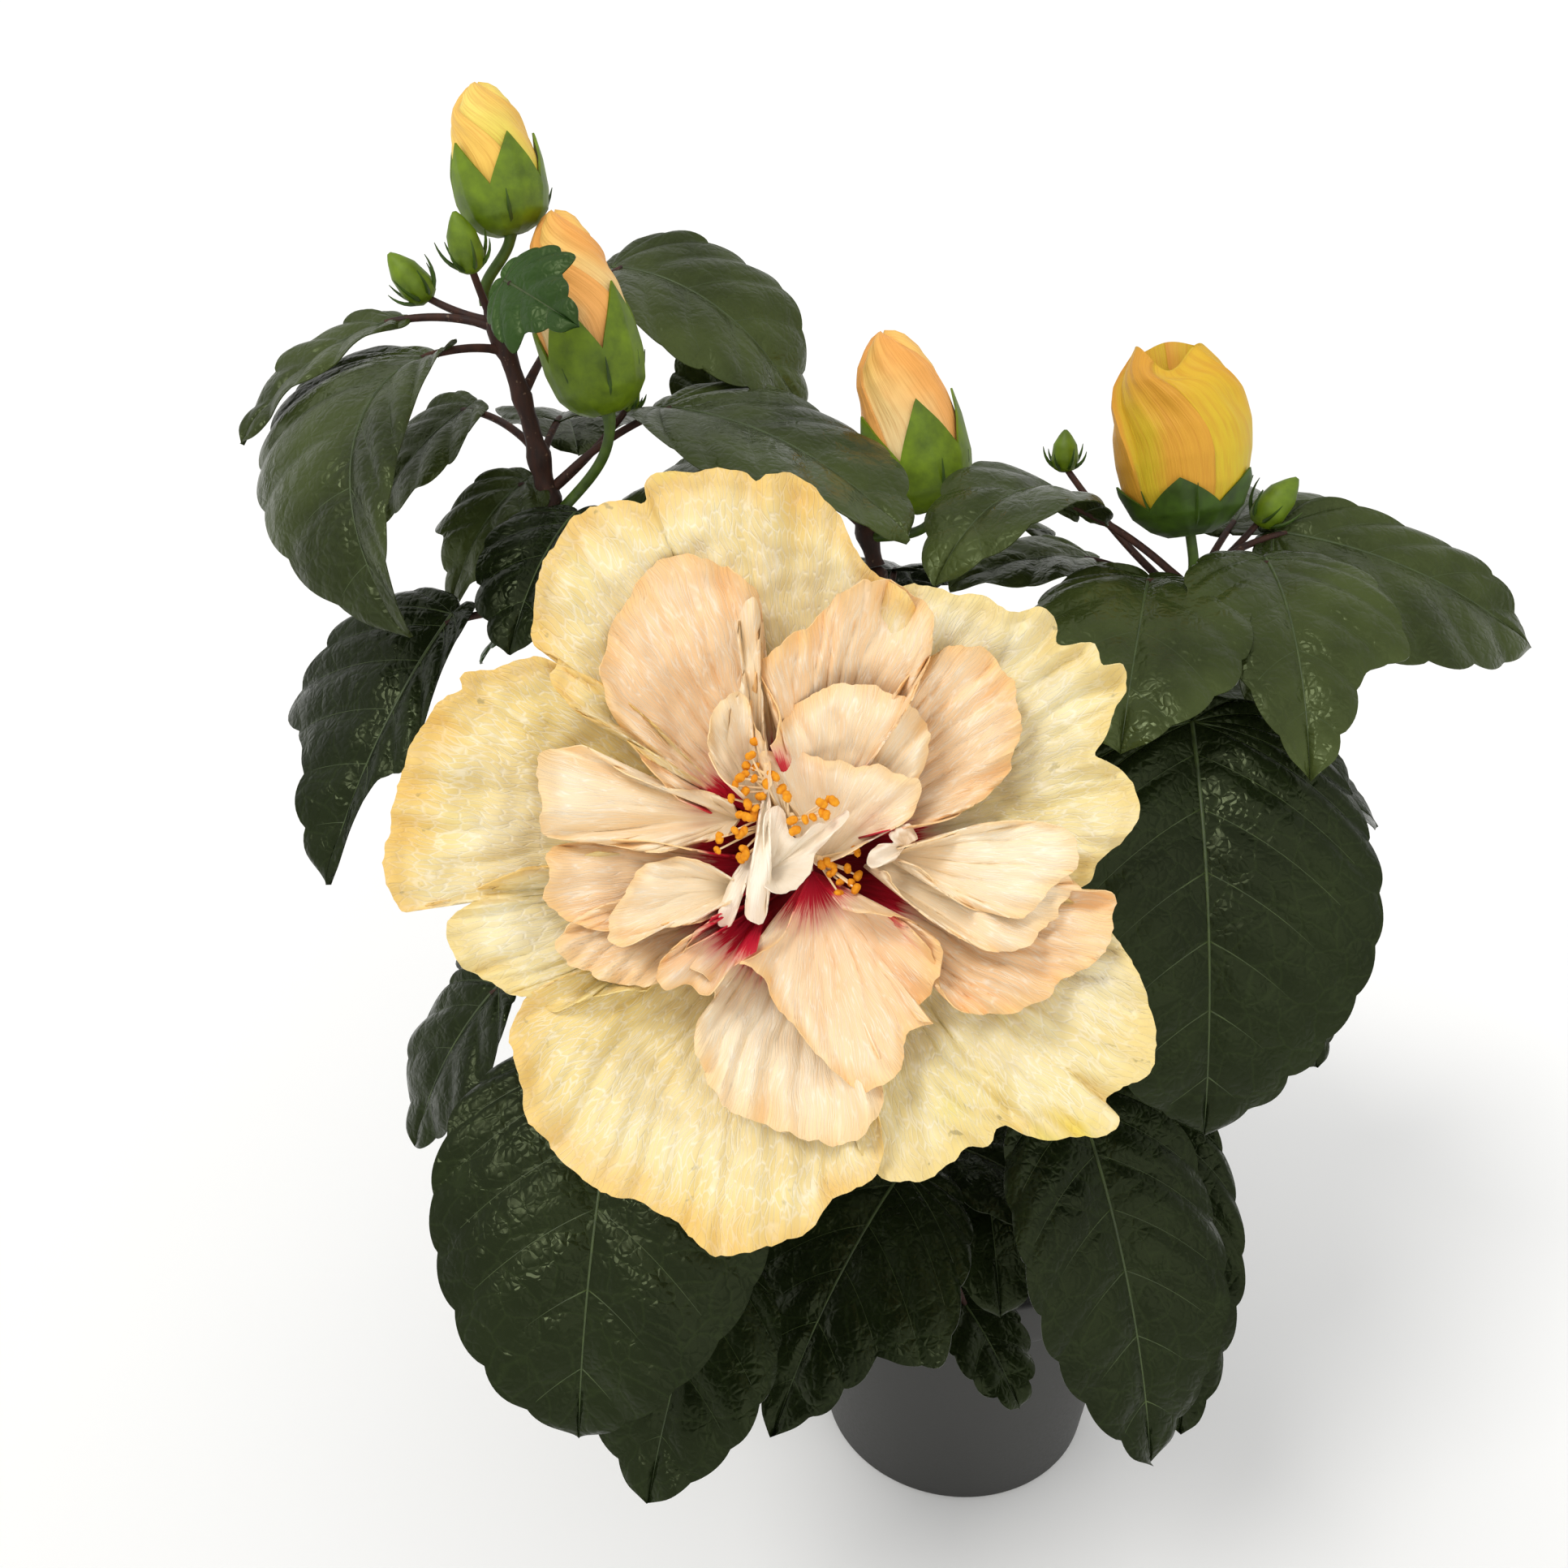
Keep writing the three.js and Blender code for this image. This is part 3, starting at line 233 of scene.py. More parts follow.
INNER_PETALS = [
    ("tall", "petal_inner", (-3, 3), BACK_DEPTHS, 23, (1.6, 1.6, 0.2), (2.25, 3, 0.5), 3, [
        (-24, 12), (-31, 20), (-36, 27), (-39, 36), (-37.5, 43), (-34.5, 50), (-31, 55.5), (-26, 58.8),
        (-20, 59.3), (-15, 57), (-10.5, 54.5), (-8, 50), (-8, 42), (-9, 36), (-10, 28), (-8, 18)]),
    ("upper_right", "petal_inner", (2, 3), (-10, 6, 14, 17), 20, (1.4, 2.1, 0.9), (3.3, 4, 2.0), 2, [
        (-6, 22), (-4.5, 29), (-8.3, 37.5), (-3.5, 42.5), (3, 47.5), (9, 53.5), (13.5, 55), (20, 53.2),
        (24.2, 50), (25.4, 46), (25.2, 41), (23.5, 36.5), (21, 31), (18, 26)]),
    ("right_round", "petal_inner", (3, 2), (-10, 4, 11, 13), 20, (0.8, 1.4, 2.9), (1.5, 3, 0.3), 3, [
        (16, 30), (21, 36.5), (27, 41), (33, 41.5), (37.5, 40), (40.5, 35), (42.2, 27), (41, 20), (38, 14.5),
        (32.5, 10.5), (28, 8), (22, 7), (16, 6)]),
    ("round", "petal_inner_pale", (4, 2), (0, 9, 13, 11), UNSTAINED, (0.7, 1.6, 1.0), (0.9, 3, 1.3), -1, [
        (-3, 12), (-5.5, 20), (-4, 26), (0, 31), (6.5, 34.3), (13.5, 34), (19.5, 31.2), (23.8, 26.5),
        (24.3, 20), (22, 14), (20, 8)]),
    ("front_lobe", "petal_inner_pale", (3, -1), (3, 9, 13, 14), UNSTAINED,
     (0.7, 2.4, 0.3), (1.5, 4, 2.1), -1, [
        (-4.5, 9), (-8, 20.5), (0, 20.4), (6, 19.6), (10, 18), (14.5, 18.6), (19, 17.4), (22.6, 14.5),
        (21.4, 9), (17, 6), (12, 3.4), (8, 1)]),
    ("right_low", "petal_inner", (4, -3), BACK_DEPTHS, 22, (1.5, 2.8, 0.5), (2.7, 5, 1.1), 1, [
        (50, -2), (55, -5.5), (59, -5.8), (60.6, -8.5), (60.2, -13), (57, -18.5), (50, -23.5), (43.5, -28.2),
        (36, -29.6), (30.5, -28.8), (27, -25), (25, -18), (20, -12)]),
    ("right_under", "petal_inner_pale", (12, -1), (2, 10, 14, 15), UNSTAINED,
     (0.8, 1.8, 2.0), (1.95, 4, 0.4), 1, [
        (24, 4), (36, 6), (48, 2), (52, -4.5), (49.5, -10), (45.5, -14.5), (40.5, -17.3), (34.5, -16.7),
        (28, -13.3), (22.5, -9.5), (18.6, -5.6), (16.4, -2)]),
    ("right_upper", "petal_inner_pale", (15, 1.5), (6, 13, 17, 18), UNSTAINED,
     (1.0, 1.7, 1.4), (2.1, 4, 2.3), -2, [
        (21, 3.2), (29, 5.4), (35, 7.4), (43, 8), (49.5, 6.8), (53.2, 3), (53.3, -1), (50, -3.5), (46, -7.6),
        (42.5, -10.9), (38, -10.2), (33, -9.2), (27.5, -6), (22.5, -1)]),
    ("low_under", "petal_inner_pale", (0, -4), BACK_DEPTHS, 22, (1.3, 2.2, 0.8), (2.1, 5, 1.7), 1, [
        (15, -38), (15.5, -45), (13.5, -50), (11, -53), (6, -54.3), (1, -53), (-6, -51), (-12, -49),
        (-17, -44.5), (-20, -38.5), (-20.5, -31.5), (-17, -27.5), (-18.5, -22), (-24, -18.5), (-17, -14)]),
    ("low", "petal_inner", (2, -2), (0, 7, 12, 14), 10, (1.0, 2.6, 2.5), (2.4, 6, 0.2), -1.5, [
        (8, -9.4), (14, -10), (20, -11), (25.5, -15), (27.2, -19), (24.5, -25), (22, -30.3), (25.5, -31.5),
        (20.5, -32.5), (19.2, -38), (17.5, -42), (13, -44), (9, -42.3), (4, -38.5), (0, -34), (-4, -29),
        (-9, -21), (-12, -19.4), (-8.5, -18), (-4, -15), (-1.6, -9.5)]),
    ("left_low", "petal_inner_pale", (-4, -3), BACK_DEPTHS, 24, (1.0, 1.9, 1.3), (1.95, 4, 0.9), 1, [
        (-20, -13), (-24, -19), (-27, -23), (-34, -24.2), (-38.5, -23), (-44, -20.5), (-47.5, -17),
        (-45.5, -12.5), (-40, -9), (-30, -6)]),
    ("low_left_fold", "petal_inner", (-6, -7), (-6, 5, 13, 16), 22, (1.5, 2.4, 0.1), (2.7, 4, 0.6), 1, [
        (-9, -17.5), (-14, -21), (-18, -25.5), (-22, -24), (-26.2, -24.2), (-27.8, -20.5), (-24, -15.8),
        (-19.5, -12.8), (-17, -10.5)]),
    ("left_middle", "petal_inner", (-5, -1), (-5, 8, 13, 14), 19, (1.6, 3.2, 0.6), (2.4, 5, 1.6), 0, [
        (-14, -9), (-20, -11.8), (-28, -12.5), (-36, -13.5), (-44, -12), (-49, -8.5), (-49.5, -3), (-48.5, 2),
        (-40, 4), (-30, 4), (-20, 2), (-12, 1)]),
    ("left_lobe", "petal_inner_pale", (-11.5, -5), (6, 11, 16, 17), UNSTAINED,
     (0.8, 1.6, 2.4), (1.5, 3, 0.5), -1, [
        (-14, -8), (-17, -9.6), (-22, -12), (-28, -13.2), (-34, -16.2), (-37.5, -14.5), (-35.5, -7),
        (-31, -1.5), (-25, 0.6), (-19, -0.2), (-14, -3)]),
    ("left_upper", "petal_inner_pale", (-12, 8), (5, 11, 16, 17), UNSTAINED,
     (2.4, 3.4, 0.9), (2.4, 5, 1.2), -1, [
        (-14.5, 5), (-22, 3), (-30, 2), (-40, 3.5), (-49, 5), (-51, 9), (-51, 15), (-50, 20.5), (-46, 22),
        (-42, 22.3), (-37.5, 19), (-33, 16.5), (-26, 14.2), (-18.5, 13.5), (-13.5, 11.5)]),
    ("tall_flap", "petal_inner_pale", (-8, 12), (6, 12, 15, 15), UNSTAINED,
     (1.4, 2.4, 0.5), (2.4, 6, 1.1), 1, [
        (-15.5, 25), (-14, 31), (-12.5, 35), (-11.4, 40), (-12.8, 46), (-11.8, 52), (-9.6, 54.5), (-8.2, 50),
        (-8.6, 44), (-8, 38), (-7.4, 30), (-6.6, 22)]),
    ("cup_left", "petal_inner_pale", (-9, 10), (6, 11, 15, 17), UNSTAINED,
     (1.2, 1.5, 0.5), (1.2, 2, 1.1), 3, [
        (-12.5, 14), (-15.5, 16), (-17.8, 21), (-18.3, 25.5), (-16.5, 30), (-13, 32.8), (-10.5, 31), (-9, 26),
        (-7, 22), (-6, 15)]),
    ("wing", "petaloid", (-6.5, -2), (9, 12, 14, 16), UNSTAINED, (0.6, 2, 0.4), (0.9, 3, 0.8), 2.5, [
        (-7.5, 1), (-7.3, 8), (-5.5, 10.3), (-3.3, 9.6), (-2.6, 6.5), (-0.5, 4.5), (2, 6.8), (5.5, 7.8),
        (8.7, 9.8), (7.8, 7.5), (4.8, 4), (2.5, 1.5), (1, -2.5), (-1.5, -5.5), (-5, -6.3), (-7.5, -5)]),
    ("strip", "petaloid", (-6.8, 15.5), (11, 15, 17, 15), UNSTAINED, (0.5, 1.5, 0.9), (0.75, 3, 0.2), -2, [
        (-8.6, 8), (-9.4, 1), (-10.5, -4), (-11, -10.5), (-9.5, -12), (-7.3, -11.5), (-6.6, -8), (-6, -3),
        (-6.3, 3), (-6, 9)]),
    ("finger", "petaloid", (-9, 2), (11, 12, 13, 12), UNSTAINED, (0.3, 1.5, 0.9), (0.45, 2, 0.2), -1.5, [
        (-11.5, 0), (-13.5, -3), (-15.2, -7.5), (-15.8, -11), (-14, -12.2), (-12.7, -10), (-11.8, -6.5),
        (-9.5, -3)]),
    ("curl_right", "petaloid", (20, 3), (12, 14, 15, 14), UNSTAINED, (0.3, 1.5, 0.9), (0.45, 2, 0.2), -1.5, [
        (18, 0.5), (14, -1.2), (12, -0.5), (12.5, 2), (15, 3.2), (17.5, 3.6), (17, 5), (17.5, 7.5), (20.5, 7),
        (21.8, 4)]),
]


# Numbers, vectors and curves
def unit(v):
    return v / np.maximum(np.linalg.norm(v, axis=-1, keepdims=True), 1e-9)


def heading(compass, lift):
    c, l = math.radians(compass), math.radians(lift)
    return np.array([math.cos(c) * math.cos(l), math.sin(c) * math.cos(l), math.sin(l)])


def ease(x, low, high):
    t = np.clip((np.asarray(x, float) - low) / (high - low), 0, 1)
    return t * t * (3 - 2 * t)


def seeded(seed):
    """Park and Miller's generator, the same as the one that the solids use."""
    state = seed

    def pick(low, high):
        nonlocal state
        state = state * 16807 % 2147483647
        return low + (high - low) * state / 2147483647

    return pick


class Curve:
    """A Bezier curve with points and directions by share of its length."""

    def __init__(self, *controls):
        self.controls = [np.array(c, float) for c in controls]
        self.steps = np.linspace(0, 1, 201)
        runs = np.linalg.norm(np.diff(self.point(self.steps), axis=0), axis=1)
        self.lengths = np.concatenate([[0], np.cumsum(runs)])
        self.length = self.lengths[-1]

    def point(self, t):
        n = len(self.controls) - 1
        t = np.asarray(t, float)[..., None]
        return sum(math.comb(n, k) * t**k * (1 - t) ** (n - k) * c for k, c in enumerate(self.controls))

    def at(self, share):
        return self.point(np.interp(np.asarray(share) * self.length, self.lengths, self.steps))

    def way(self, share):
        t = np.interp(share * self.length, self.lengths, self.steps)
        return unit(self.point(min(t + 1e-4, 1)) - self.point(max(t - 1e-4, 0)))


# Meshes: faces are rows of four numbers, and a triangle gives its last one twice
class Heap:
    """Meshes of one kind, to be joined into one piece, with UV maps by name."""

    def __init__(self):
        self.verts, self.faces, self.shades, self.maps, self.count = [], [], [], [], 0

    def add(self, verts, faces, shade=0, maps=None):
        verts = np.asarray(verts, float).reshape(-1, 3)
        self.verts.append(verts)
        self.faces.append(np.asarray(faces, int) + self.count)
        self.shades.append(np.full(len(faces), shade))
        self.maps.append(maps or {})
        self.count += len(verts)

    def spots(self, layer):
        """Each point's spot on a map, the origin where its mesh lacks that map."""
        return np.concatenate([m.get(layer, np.zeros((len(v), 2))) for v, m in zip(self.verts, self.maps)])


def welded(verts, faces):
    """Points that coincide made one, and the faces that close up dropped."""
    verts = verts.reshape(-1, 3)
    keys = np.round(verts * 1e4).astype(np.int64)
    _, first, back = np.unique(keys, axis=0, return_index=True, return_inverse=True)
    faces = back.reshape(-1)[faces]
    same = faces == np.roll(faces, -1, axis=1)
    whole = faces[same.sum(1) == 0]
    rest = faces[same.sum(1) == 1]
    three = rest[~same[same.sum(1) == 1]].reshape(-1, 3)
    return verts[first], np.concatenate([whole, np.column_stack([three, three[:, 2]])])


def placed(name, data):
    thing = bpy.data.objects.new(name, data)
    bpy.context.scene.collection.objects.link(thing)
    return thing


def make(name, heap, looks, nodes, sharp):
    """One piece from a heap, with its materials in the order of the heap's shades."""
    faces = np.concatenate(heap.faces)
    triangle = faces[:, 3] == faces[:, 2]
    order = np.concatenate([np.nonzero(~triangle)[0], np.nonzero(triangle)[0]])
    listed = faces[~triangle].tolist() + faces[triangle][:, :3].tolist()
    mesh = bpy.data.meshes.new(name)
    mesh.from_pydata((np.concatenate(heap.verts) * MM).tolist(), [], listed)
    mesh.polygons.foreach_set("material_index", np.concatenate(heap.shades)[order].astype(np.int32))
    corners = np.empty(len(mesh.loops), np.int32)
    mesh.loops.foreach_get("vertex_index", corners)
    for layer in dict.fromkeys(key for maps in heap.maps for key in maps):
        spots = heap.spots(layer)[corners].astype(np.float32)
        mesh.uv_layers.new(name=layer).data.foreach_set("uv", spots.ravel())
    mesh.shade_smooth()
    mesh.set_sharp_from_angle(angle=math.radians(sharp))
    for look in looks:
        mesh.materials.append(LOOKS[look])
    piece = placed(name, mesh)
    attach(piece, "root")
    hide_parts(*nodes)


def grid_faces(rows, columns, closed=False):
    r, c = np.meshgrid(np.arange(rows), np.arange(columns), indexing="ij")
    wide = columns if closed else columns + 1
    after = (c + 1) % wide
    quads = [r * wide + c, (r + 1) * wide + c, (r + 1) * wide + after, r * wide + after]
    return np.stack(quads, axis=-1).reshape(-1, 4)


def capped(skin, ends=None):
    """Rings of points as a closed skin, each end closed by a point, in its ring's middle if none is given."""
    rows, sides = skin.shape[:2]
    verts = np.concatenate([skin.reshape(-1, 3), skin[[0, -1]].mean(1) if ends is None else ends])
    i = np.arange(sides)
    j = (i + 1) % sides
    last = (rows - 1) * sides
    low = np.column_stack([i * 0 + rows * sides, j, i, i])
    high = np.column_stack([i * 0 + rows * sides + 1, last + i, last + j, last + j])
    return verts, np.concatenate([grid_faces(rows - 1, sides, closed=True)[:, ::-1], low, high])


def tube(points, radii, sides, bump=None):
    """A closed tube: bump gives what its skin adds to the radius, from the points on it."""
    points = np.asarray(points, float)
    ways = unit(np.gradient(points, axis=0))
    radii = np.broadcast_to(radii, len(points)).astype(float)
    normal = unit(np.cross(ways[0], ASKEW))
    normals = []
    for way in ways:
        normal = unit(normal - way * normal.dot(way))
        normals.append(normal)
    normals = np.array(normals)[:, None]
    others = np.cross(ways[:, None], normals)
    turns = np.linspace(0, 2 * np.pi, sides, endpoint=False)[None, :, None]
    out = normals * np.cos(turns) + others * np.sin(turns)
    skin = points[:, None] + out * radii[:, None, None]
    if bump:
        skin = skin + out * bump(skin)[..., None]
    return capped(skin, points[[0, -1]])


ASKEW = (0.31, 0.9, 0.29)  # a direction that no limb starts in


def shell(top, bottom, flip=False):
    """A closed skin round two grids of points, one above the other."""
    rows, columns = top.shape[0] - 1, top.shape[1] - 1
    size = (rows + 1) * (columns + 1)
    number = np.arange(size).reshape(rows + 1, columns + 1)
    over = grid_faces(rows, columns)
    rims = []
    for line in (number[:, 0][::-1], number[-1][::-1], number[:, -1], number[0]):
        a, b = line[:-1], line[1:]
        rims.append(np.column_stack([a, b, b + size, a + size]))
    faces = np.concatenate([over, over[:, ::-1] + size, *rims])
    return np.concatenate([top.reshape(-1, 3), bottom.reshape(-1, 3)]), faces[:, ::-1] if flip else faces


def frame_of(way):
    across = unit(np.cross([0, 0, 1.0], way))
    return across, np.cross(way, across)


def round_skin(foot, way, rows, sides, radius, swing=0):
    """Points round an axis: radius(share, turn) gives their height and distance off it at each share of the
    rows' span, and swing turns each row further."""
    across, beyond = frame_of(way)
    turns = np.linspace(0, 2 * np.pi, sides, endpoint=False)[None]
    heights, wide = radius(rows[:, None], turns)
    turns = (turns + np.reshape(swing, (-1, 1)))[..., None]
    out = across * np.cos(turns) + beyond * np.sin(turns)
    return foot + way * heights[..., None] + out * wide[..., None]


def ripples(p, size, seed=0):
    """Smooth noise from -1 to 1 at each point, with lumps of about that size."""
    flat = p.reshape(-1, 3) / size + seed * 17.3
    return np.array([noise.noise(Vector(q)) for q in flat]).reshape(p.shape[:-1])


def sepals(foot, way, lifts, phase, spots):
    """Five joined sepals between two skins; spots(share, notch) gives their height and distance off the axis,
    and notch runs from 0 at a sepal's middle to 1 between two of them."""

    def skin(lift):
        def lifted(share, turn):
            notch = np.abs((turn / (2 * np.pi) * 5 + phase) % 1 - 0.5) * 2
            height, wide = spots(share, notch)
            return height, wide + lift

        return round_skin(foot, way, np.linspace(0, 1, 22), 100, lifted)

    return capped(np.concatenate([skin(lifts[0]), skin(lifts[1])[::-1]]))


def bracts(foot, axes, count, phase, ends, girths, sides):
    """Narrow bracts round a foot, each on a curve through (along, out) pairs: even ones follow the first list
    of ends, odd ones the second."""
    way, across, beyond = axes
    for i in range(count):
        turn = 2 * math.pi * (i + phase) / count
        out = across * math.cos(turn) + beyond * math.sin(turn)
        curve = Curve(*[foot + way * along + out * reach for along, reach in ends[i % 2]])
        yield tube(curve.at(np.linspace(0, 1, len(girths))), np.array(girths), sides)


# Materials
LOOKS = {}
FACTOR, BELOW, ABOVE, MIXED = 0, 6, 7, 2  # sockets of a Mix node that mixes colours
LEAF_SHINE = (0.85, 1, 0.55, 1)


def linear(code):
    values = [int(code[i : i + 2], 16) / 255 for i in (0, 2, 4)]
    return tuple(v / 12.92 if v <= 0.04045 else ((v + 0.055) / 1.055) ** 2.4 for v in values) + (1,)


class Shader:
    """A material whose constant values sit on its own sockets."""

    def __init__(self, name, gloss, roughness=0.5, shine=(1, 1, 1, 1)):
        self.material = LOOKS[name] = bpy.data.materials.new(name)
        self.material.use_nodes = True
        self.tree = self.material.node_tree
        self.surface = self.tree.nodes["Principled BSDF"]
        constants = {"Specular IOR Level": gloss, "Roughness": roughness, "Specular Tint": shine}
        for socket, value in constants.items():
            self.surface.inputs[socket].default_value = value

    def node(self, kind, inputs, out=0, **settings):
        """An output of a new node, whose inputs are other outputs or constants."""
        node = self.tree.nodes.new("ShaderNode" + kind)
        for key, value in settings.items():
            setattr(node, key, value)
        for key, value in inputs.items():
            if isinstance(value, bpy.types.NodeSocket):
                self.tree.links.new(value, node.inputs[key])
            else:
                node.inputs[key].default_value = value
        return node.outputs[out]

    def scaled(self, vector, scale):
        return self.node("Mapping", {"Vector": vector, "Scale": scale})

    def place(self, uv_name=None, scale=(1, 1, 1)):
        """The place on the object in metres, or on one of its maps."""
        if uv_name:
            return self.scaled(self.node("UVMap", {}, uv_map=uv_name), scale)
        return self.scaled(self.node("TexCoord", {}, "Object"), scale)

    def axis(self, uv_name, number):
        return self.node("SeparateXYZ", {0: self.place(uv_name)}, number)

    def noise(self, vector, scale, detail=3, roughness=0.5, out="Fac"):
        inputs = {"Vector": vector, "Scale": scale, "Detail": detail, "Roughness": roughness}
        return self.node("TexNoise", inputs, out)

    def cells(self, vector, scale):
        """How far a place is from the edge of its cell."""
        return self.node("TexVoronoi", {"Vector": vector, "Scale": scale}, feature="DISTANCE_TO_EDGE")

    def ramp(self, fac, start, end, low=0, high=1):
        """From low at start to high at end; each is a grey or a colour."""
        ramp = self.node("ValToRGB", {"Fac": fac}, "Color")
        for element, spot, tone in zip(ramp.node.color_ramp.elements, (start, end), (low, high)):
            element.position = spot
            element.color = tone if isinstance(tone, tuple) else (tone, tone, tone, 1)
        return ramp

    def mix(self, mask, below, code):
        below = linear(below) if isinstance(below, str) else below
        inputs = {FACTOR: mask, BELOW: below, ABOVE: linear(code)}
        return self.node("Mix", inputs, MIXED, data_type="RGBA")

    def math(self, operation, a, b):
        return self.node("Math", {0: a, 1: b}, operation=operation)

    def vector(self, operation, a, b):
        return self.node("VectorMath", {0: a, 3 if operation == "SCALE" else 1: b}, operation=operation)

    def finish(self, colour, roughness=None, height=None, strength=0.3, distance=0.0005):
        links = {"Base Color": colour, "Roughness": roughness}
        if height is not None:
            inputs = {"Height": height, "Strength": strength, "Distance": distance}
            links["Normal"] = self.node("Bump", inputs)
        for socket, value in links.items():
            if value is not None:
                self.tree.links.new(value, self.surface.inputs[socket])
        return self.material


def leaf_material(name, dark, light, roughness, gloss):
    s = Shader(name, gloss, shine=LEAF_SHINE)
    place = s.place()
    colour = s.mix(s.ramp(s.noise(place, 28), 0.35, 0.7), dark, light)
    colour = s.mix(s.ramp(s.noise(place, 420, 4, 0.6), 0.45, 0.75, 0, 0.2), colour, light)
    bent = s.vector("ADD", place, s.vector("SCALE", s.noise(place, 160, 2, out="Color"), 0.003))
    net, small = s.cells(bent, 125), s.cells(bent, 480)
    colour = s.mix(s.ramp(net, 0, 0.05, 0.12, 0), colour, "3c4a26")
    rough = s.ramp(s.noise(place, 60), 0.3, 0.7, roughness - 0.07, roughness + 0.1)
    domes = s.math("ADD", s.ramp(net, 0, 0.35), s.math("MULTIPLY", s.ramp(small, 0, 0.3), 0.3))
    s.finish(colour, rough, domes, 0.4, 0.0008)


def bark_material(name, dark, light):
    s = Shader(name, 0.35)
    streaks = s.noise(s.place(scale=(1, 1, 0.25)), 500, 5, 0.6)
    colour = s.mix(s.ramp(streaks, 0.35, 0.68), dark, light)
    colour = s.mix(s.ramp(s.noise(s.place(), 700, 2), 0.66, 0.72, 0, 0.5), colour, "8a6f58")
    s.finish(colour, s.ramp(streaks, 0.3, 0.7, 0.55, 0.8), streaks, 0.5, 0.0004)


def petal_material(name, pale, deep, margin, net, veined, spotted):
    """The map named petal gives millimetres across the petal and past the crimson's end, the one named margin
    gives shares from side to side and from foot to margin. The net's meshes are set across and along."""
    s = Shader(name, 0.25, 0.55)
    place, spot = s.place(), s.place("petal")
    warp = s.vector("SUBTRACT", s.noise(spot, 0.1, 1, out="Color"), (0.5, 0.5, 0.5))
    bent = s.vector("ADD", spot, s.vector("SCALE", warp, 3))
    lines = s.ramp(s.cells(s.scaled(bent, (*net, 1)), 1), 0, 0.12, veined, 0)
    rays = s.noise(s.scaled(bent, (0.7, 0.03, 1)), 1, 4, 0.65)
    colour = s.mix(s.ramp(s.noise(place, 30), 0.35, 0.68), pale, deep)
    colour = s.mix(s.ramp(rays, 0.45, 0.75, 0, 0.6), colour, deep)
    colour = s.mix(lines, colour, "fffbee")
    wander = s.math("MULTIPLY", s.math("SUBTRACT", s.noise(place, 90), 0.5), 0.2)
    edge = s.math("ADD", s.axis("margin", 1), wander)
    colour = s.mix(s.ramp(edge, 0.88, 1.04, 0, 0.8), colour, margin)
    if spotted:
        near = s.ramp(edge, 0.74, 0.95)
        for scale, detail, start, end, high, code in SPOTS:
            spots = s.ramp(s.noise(place, scale, detail), start, end, 0, high)
            colour = s.mix(s.math("MULTIPLY", spots, near), colour, code)
    past = s.math("ADD", s.axis("petal", 1), s.math("MULTIPLY", s.math("SUBTRACT", rays, 0.5), 14))
    reach = s.math("DIVIDE", s.math("ADD", past, 20), 30)
    for start, end, low, code in CRIMSON:
        colour = s.mix(s.ramp(reach, start, end, low, 0), colour, code)
    s.finish(colour, None, s.math("ADD", lines, s.math("MULTIPLY", rays, 1.5)), 0.45, 0.0005)


def plain_material(name, colour, roughness, accent, scale=300, strength=0.25):
    s = Shader(name, 0.4)
    grain = s.noise(s.place(), scale, 4, 0.6)
    tint = s.mix(s.ramp(grain, 0.35, 0.7), colour, accent)
    s.finish(tint, s.ramp(grain, 0.3, 0.7, roughness - 0.06, roughness + 0.08), grain, strength, 0.0003)


def bud_material(name, low, high, tip):
    """Petals of a bud: the map named petal gives shares from side to side and from foot to tip."""
    s = Shader(name, 0.3)
    veins = s.noise(s.place("petal", (34, 3, 1)), 1, 3, 0.6)
    colour = s.mix(s.ramp(s.axis("petal", 1), 0.3, 0.85), low, high)
    patch = s.math("ADD", s.axis("petal", 0), s.math("MULTIPLY", s.noise(s.place(), 70, 2), 0.8))
    colour = s.mix(s.ramp(patch, 0.62, 1.05, 0, 0.85), colour, tip)
    colour = s.mix(s.ramp(veins, 0.36, 0.56, 0.32, 0), colour, "c47c28")
    s.finish(colour, None, veins, 0.5, 0.0005)


# Stains near a petal's margin: scale and detail of their noise, where they start and end in it, strength and
# colour
SPOTS = ((42, 2, 0.6, 0.7, 0.75, "e6d258"), (240, 3, 0.69, 0.73, 0.5, "8d8562"))
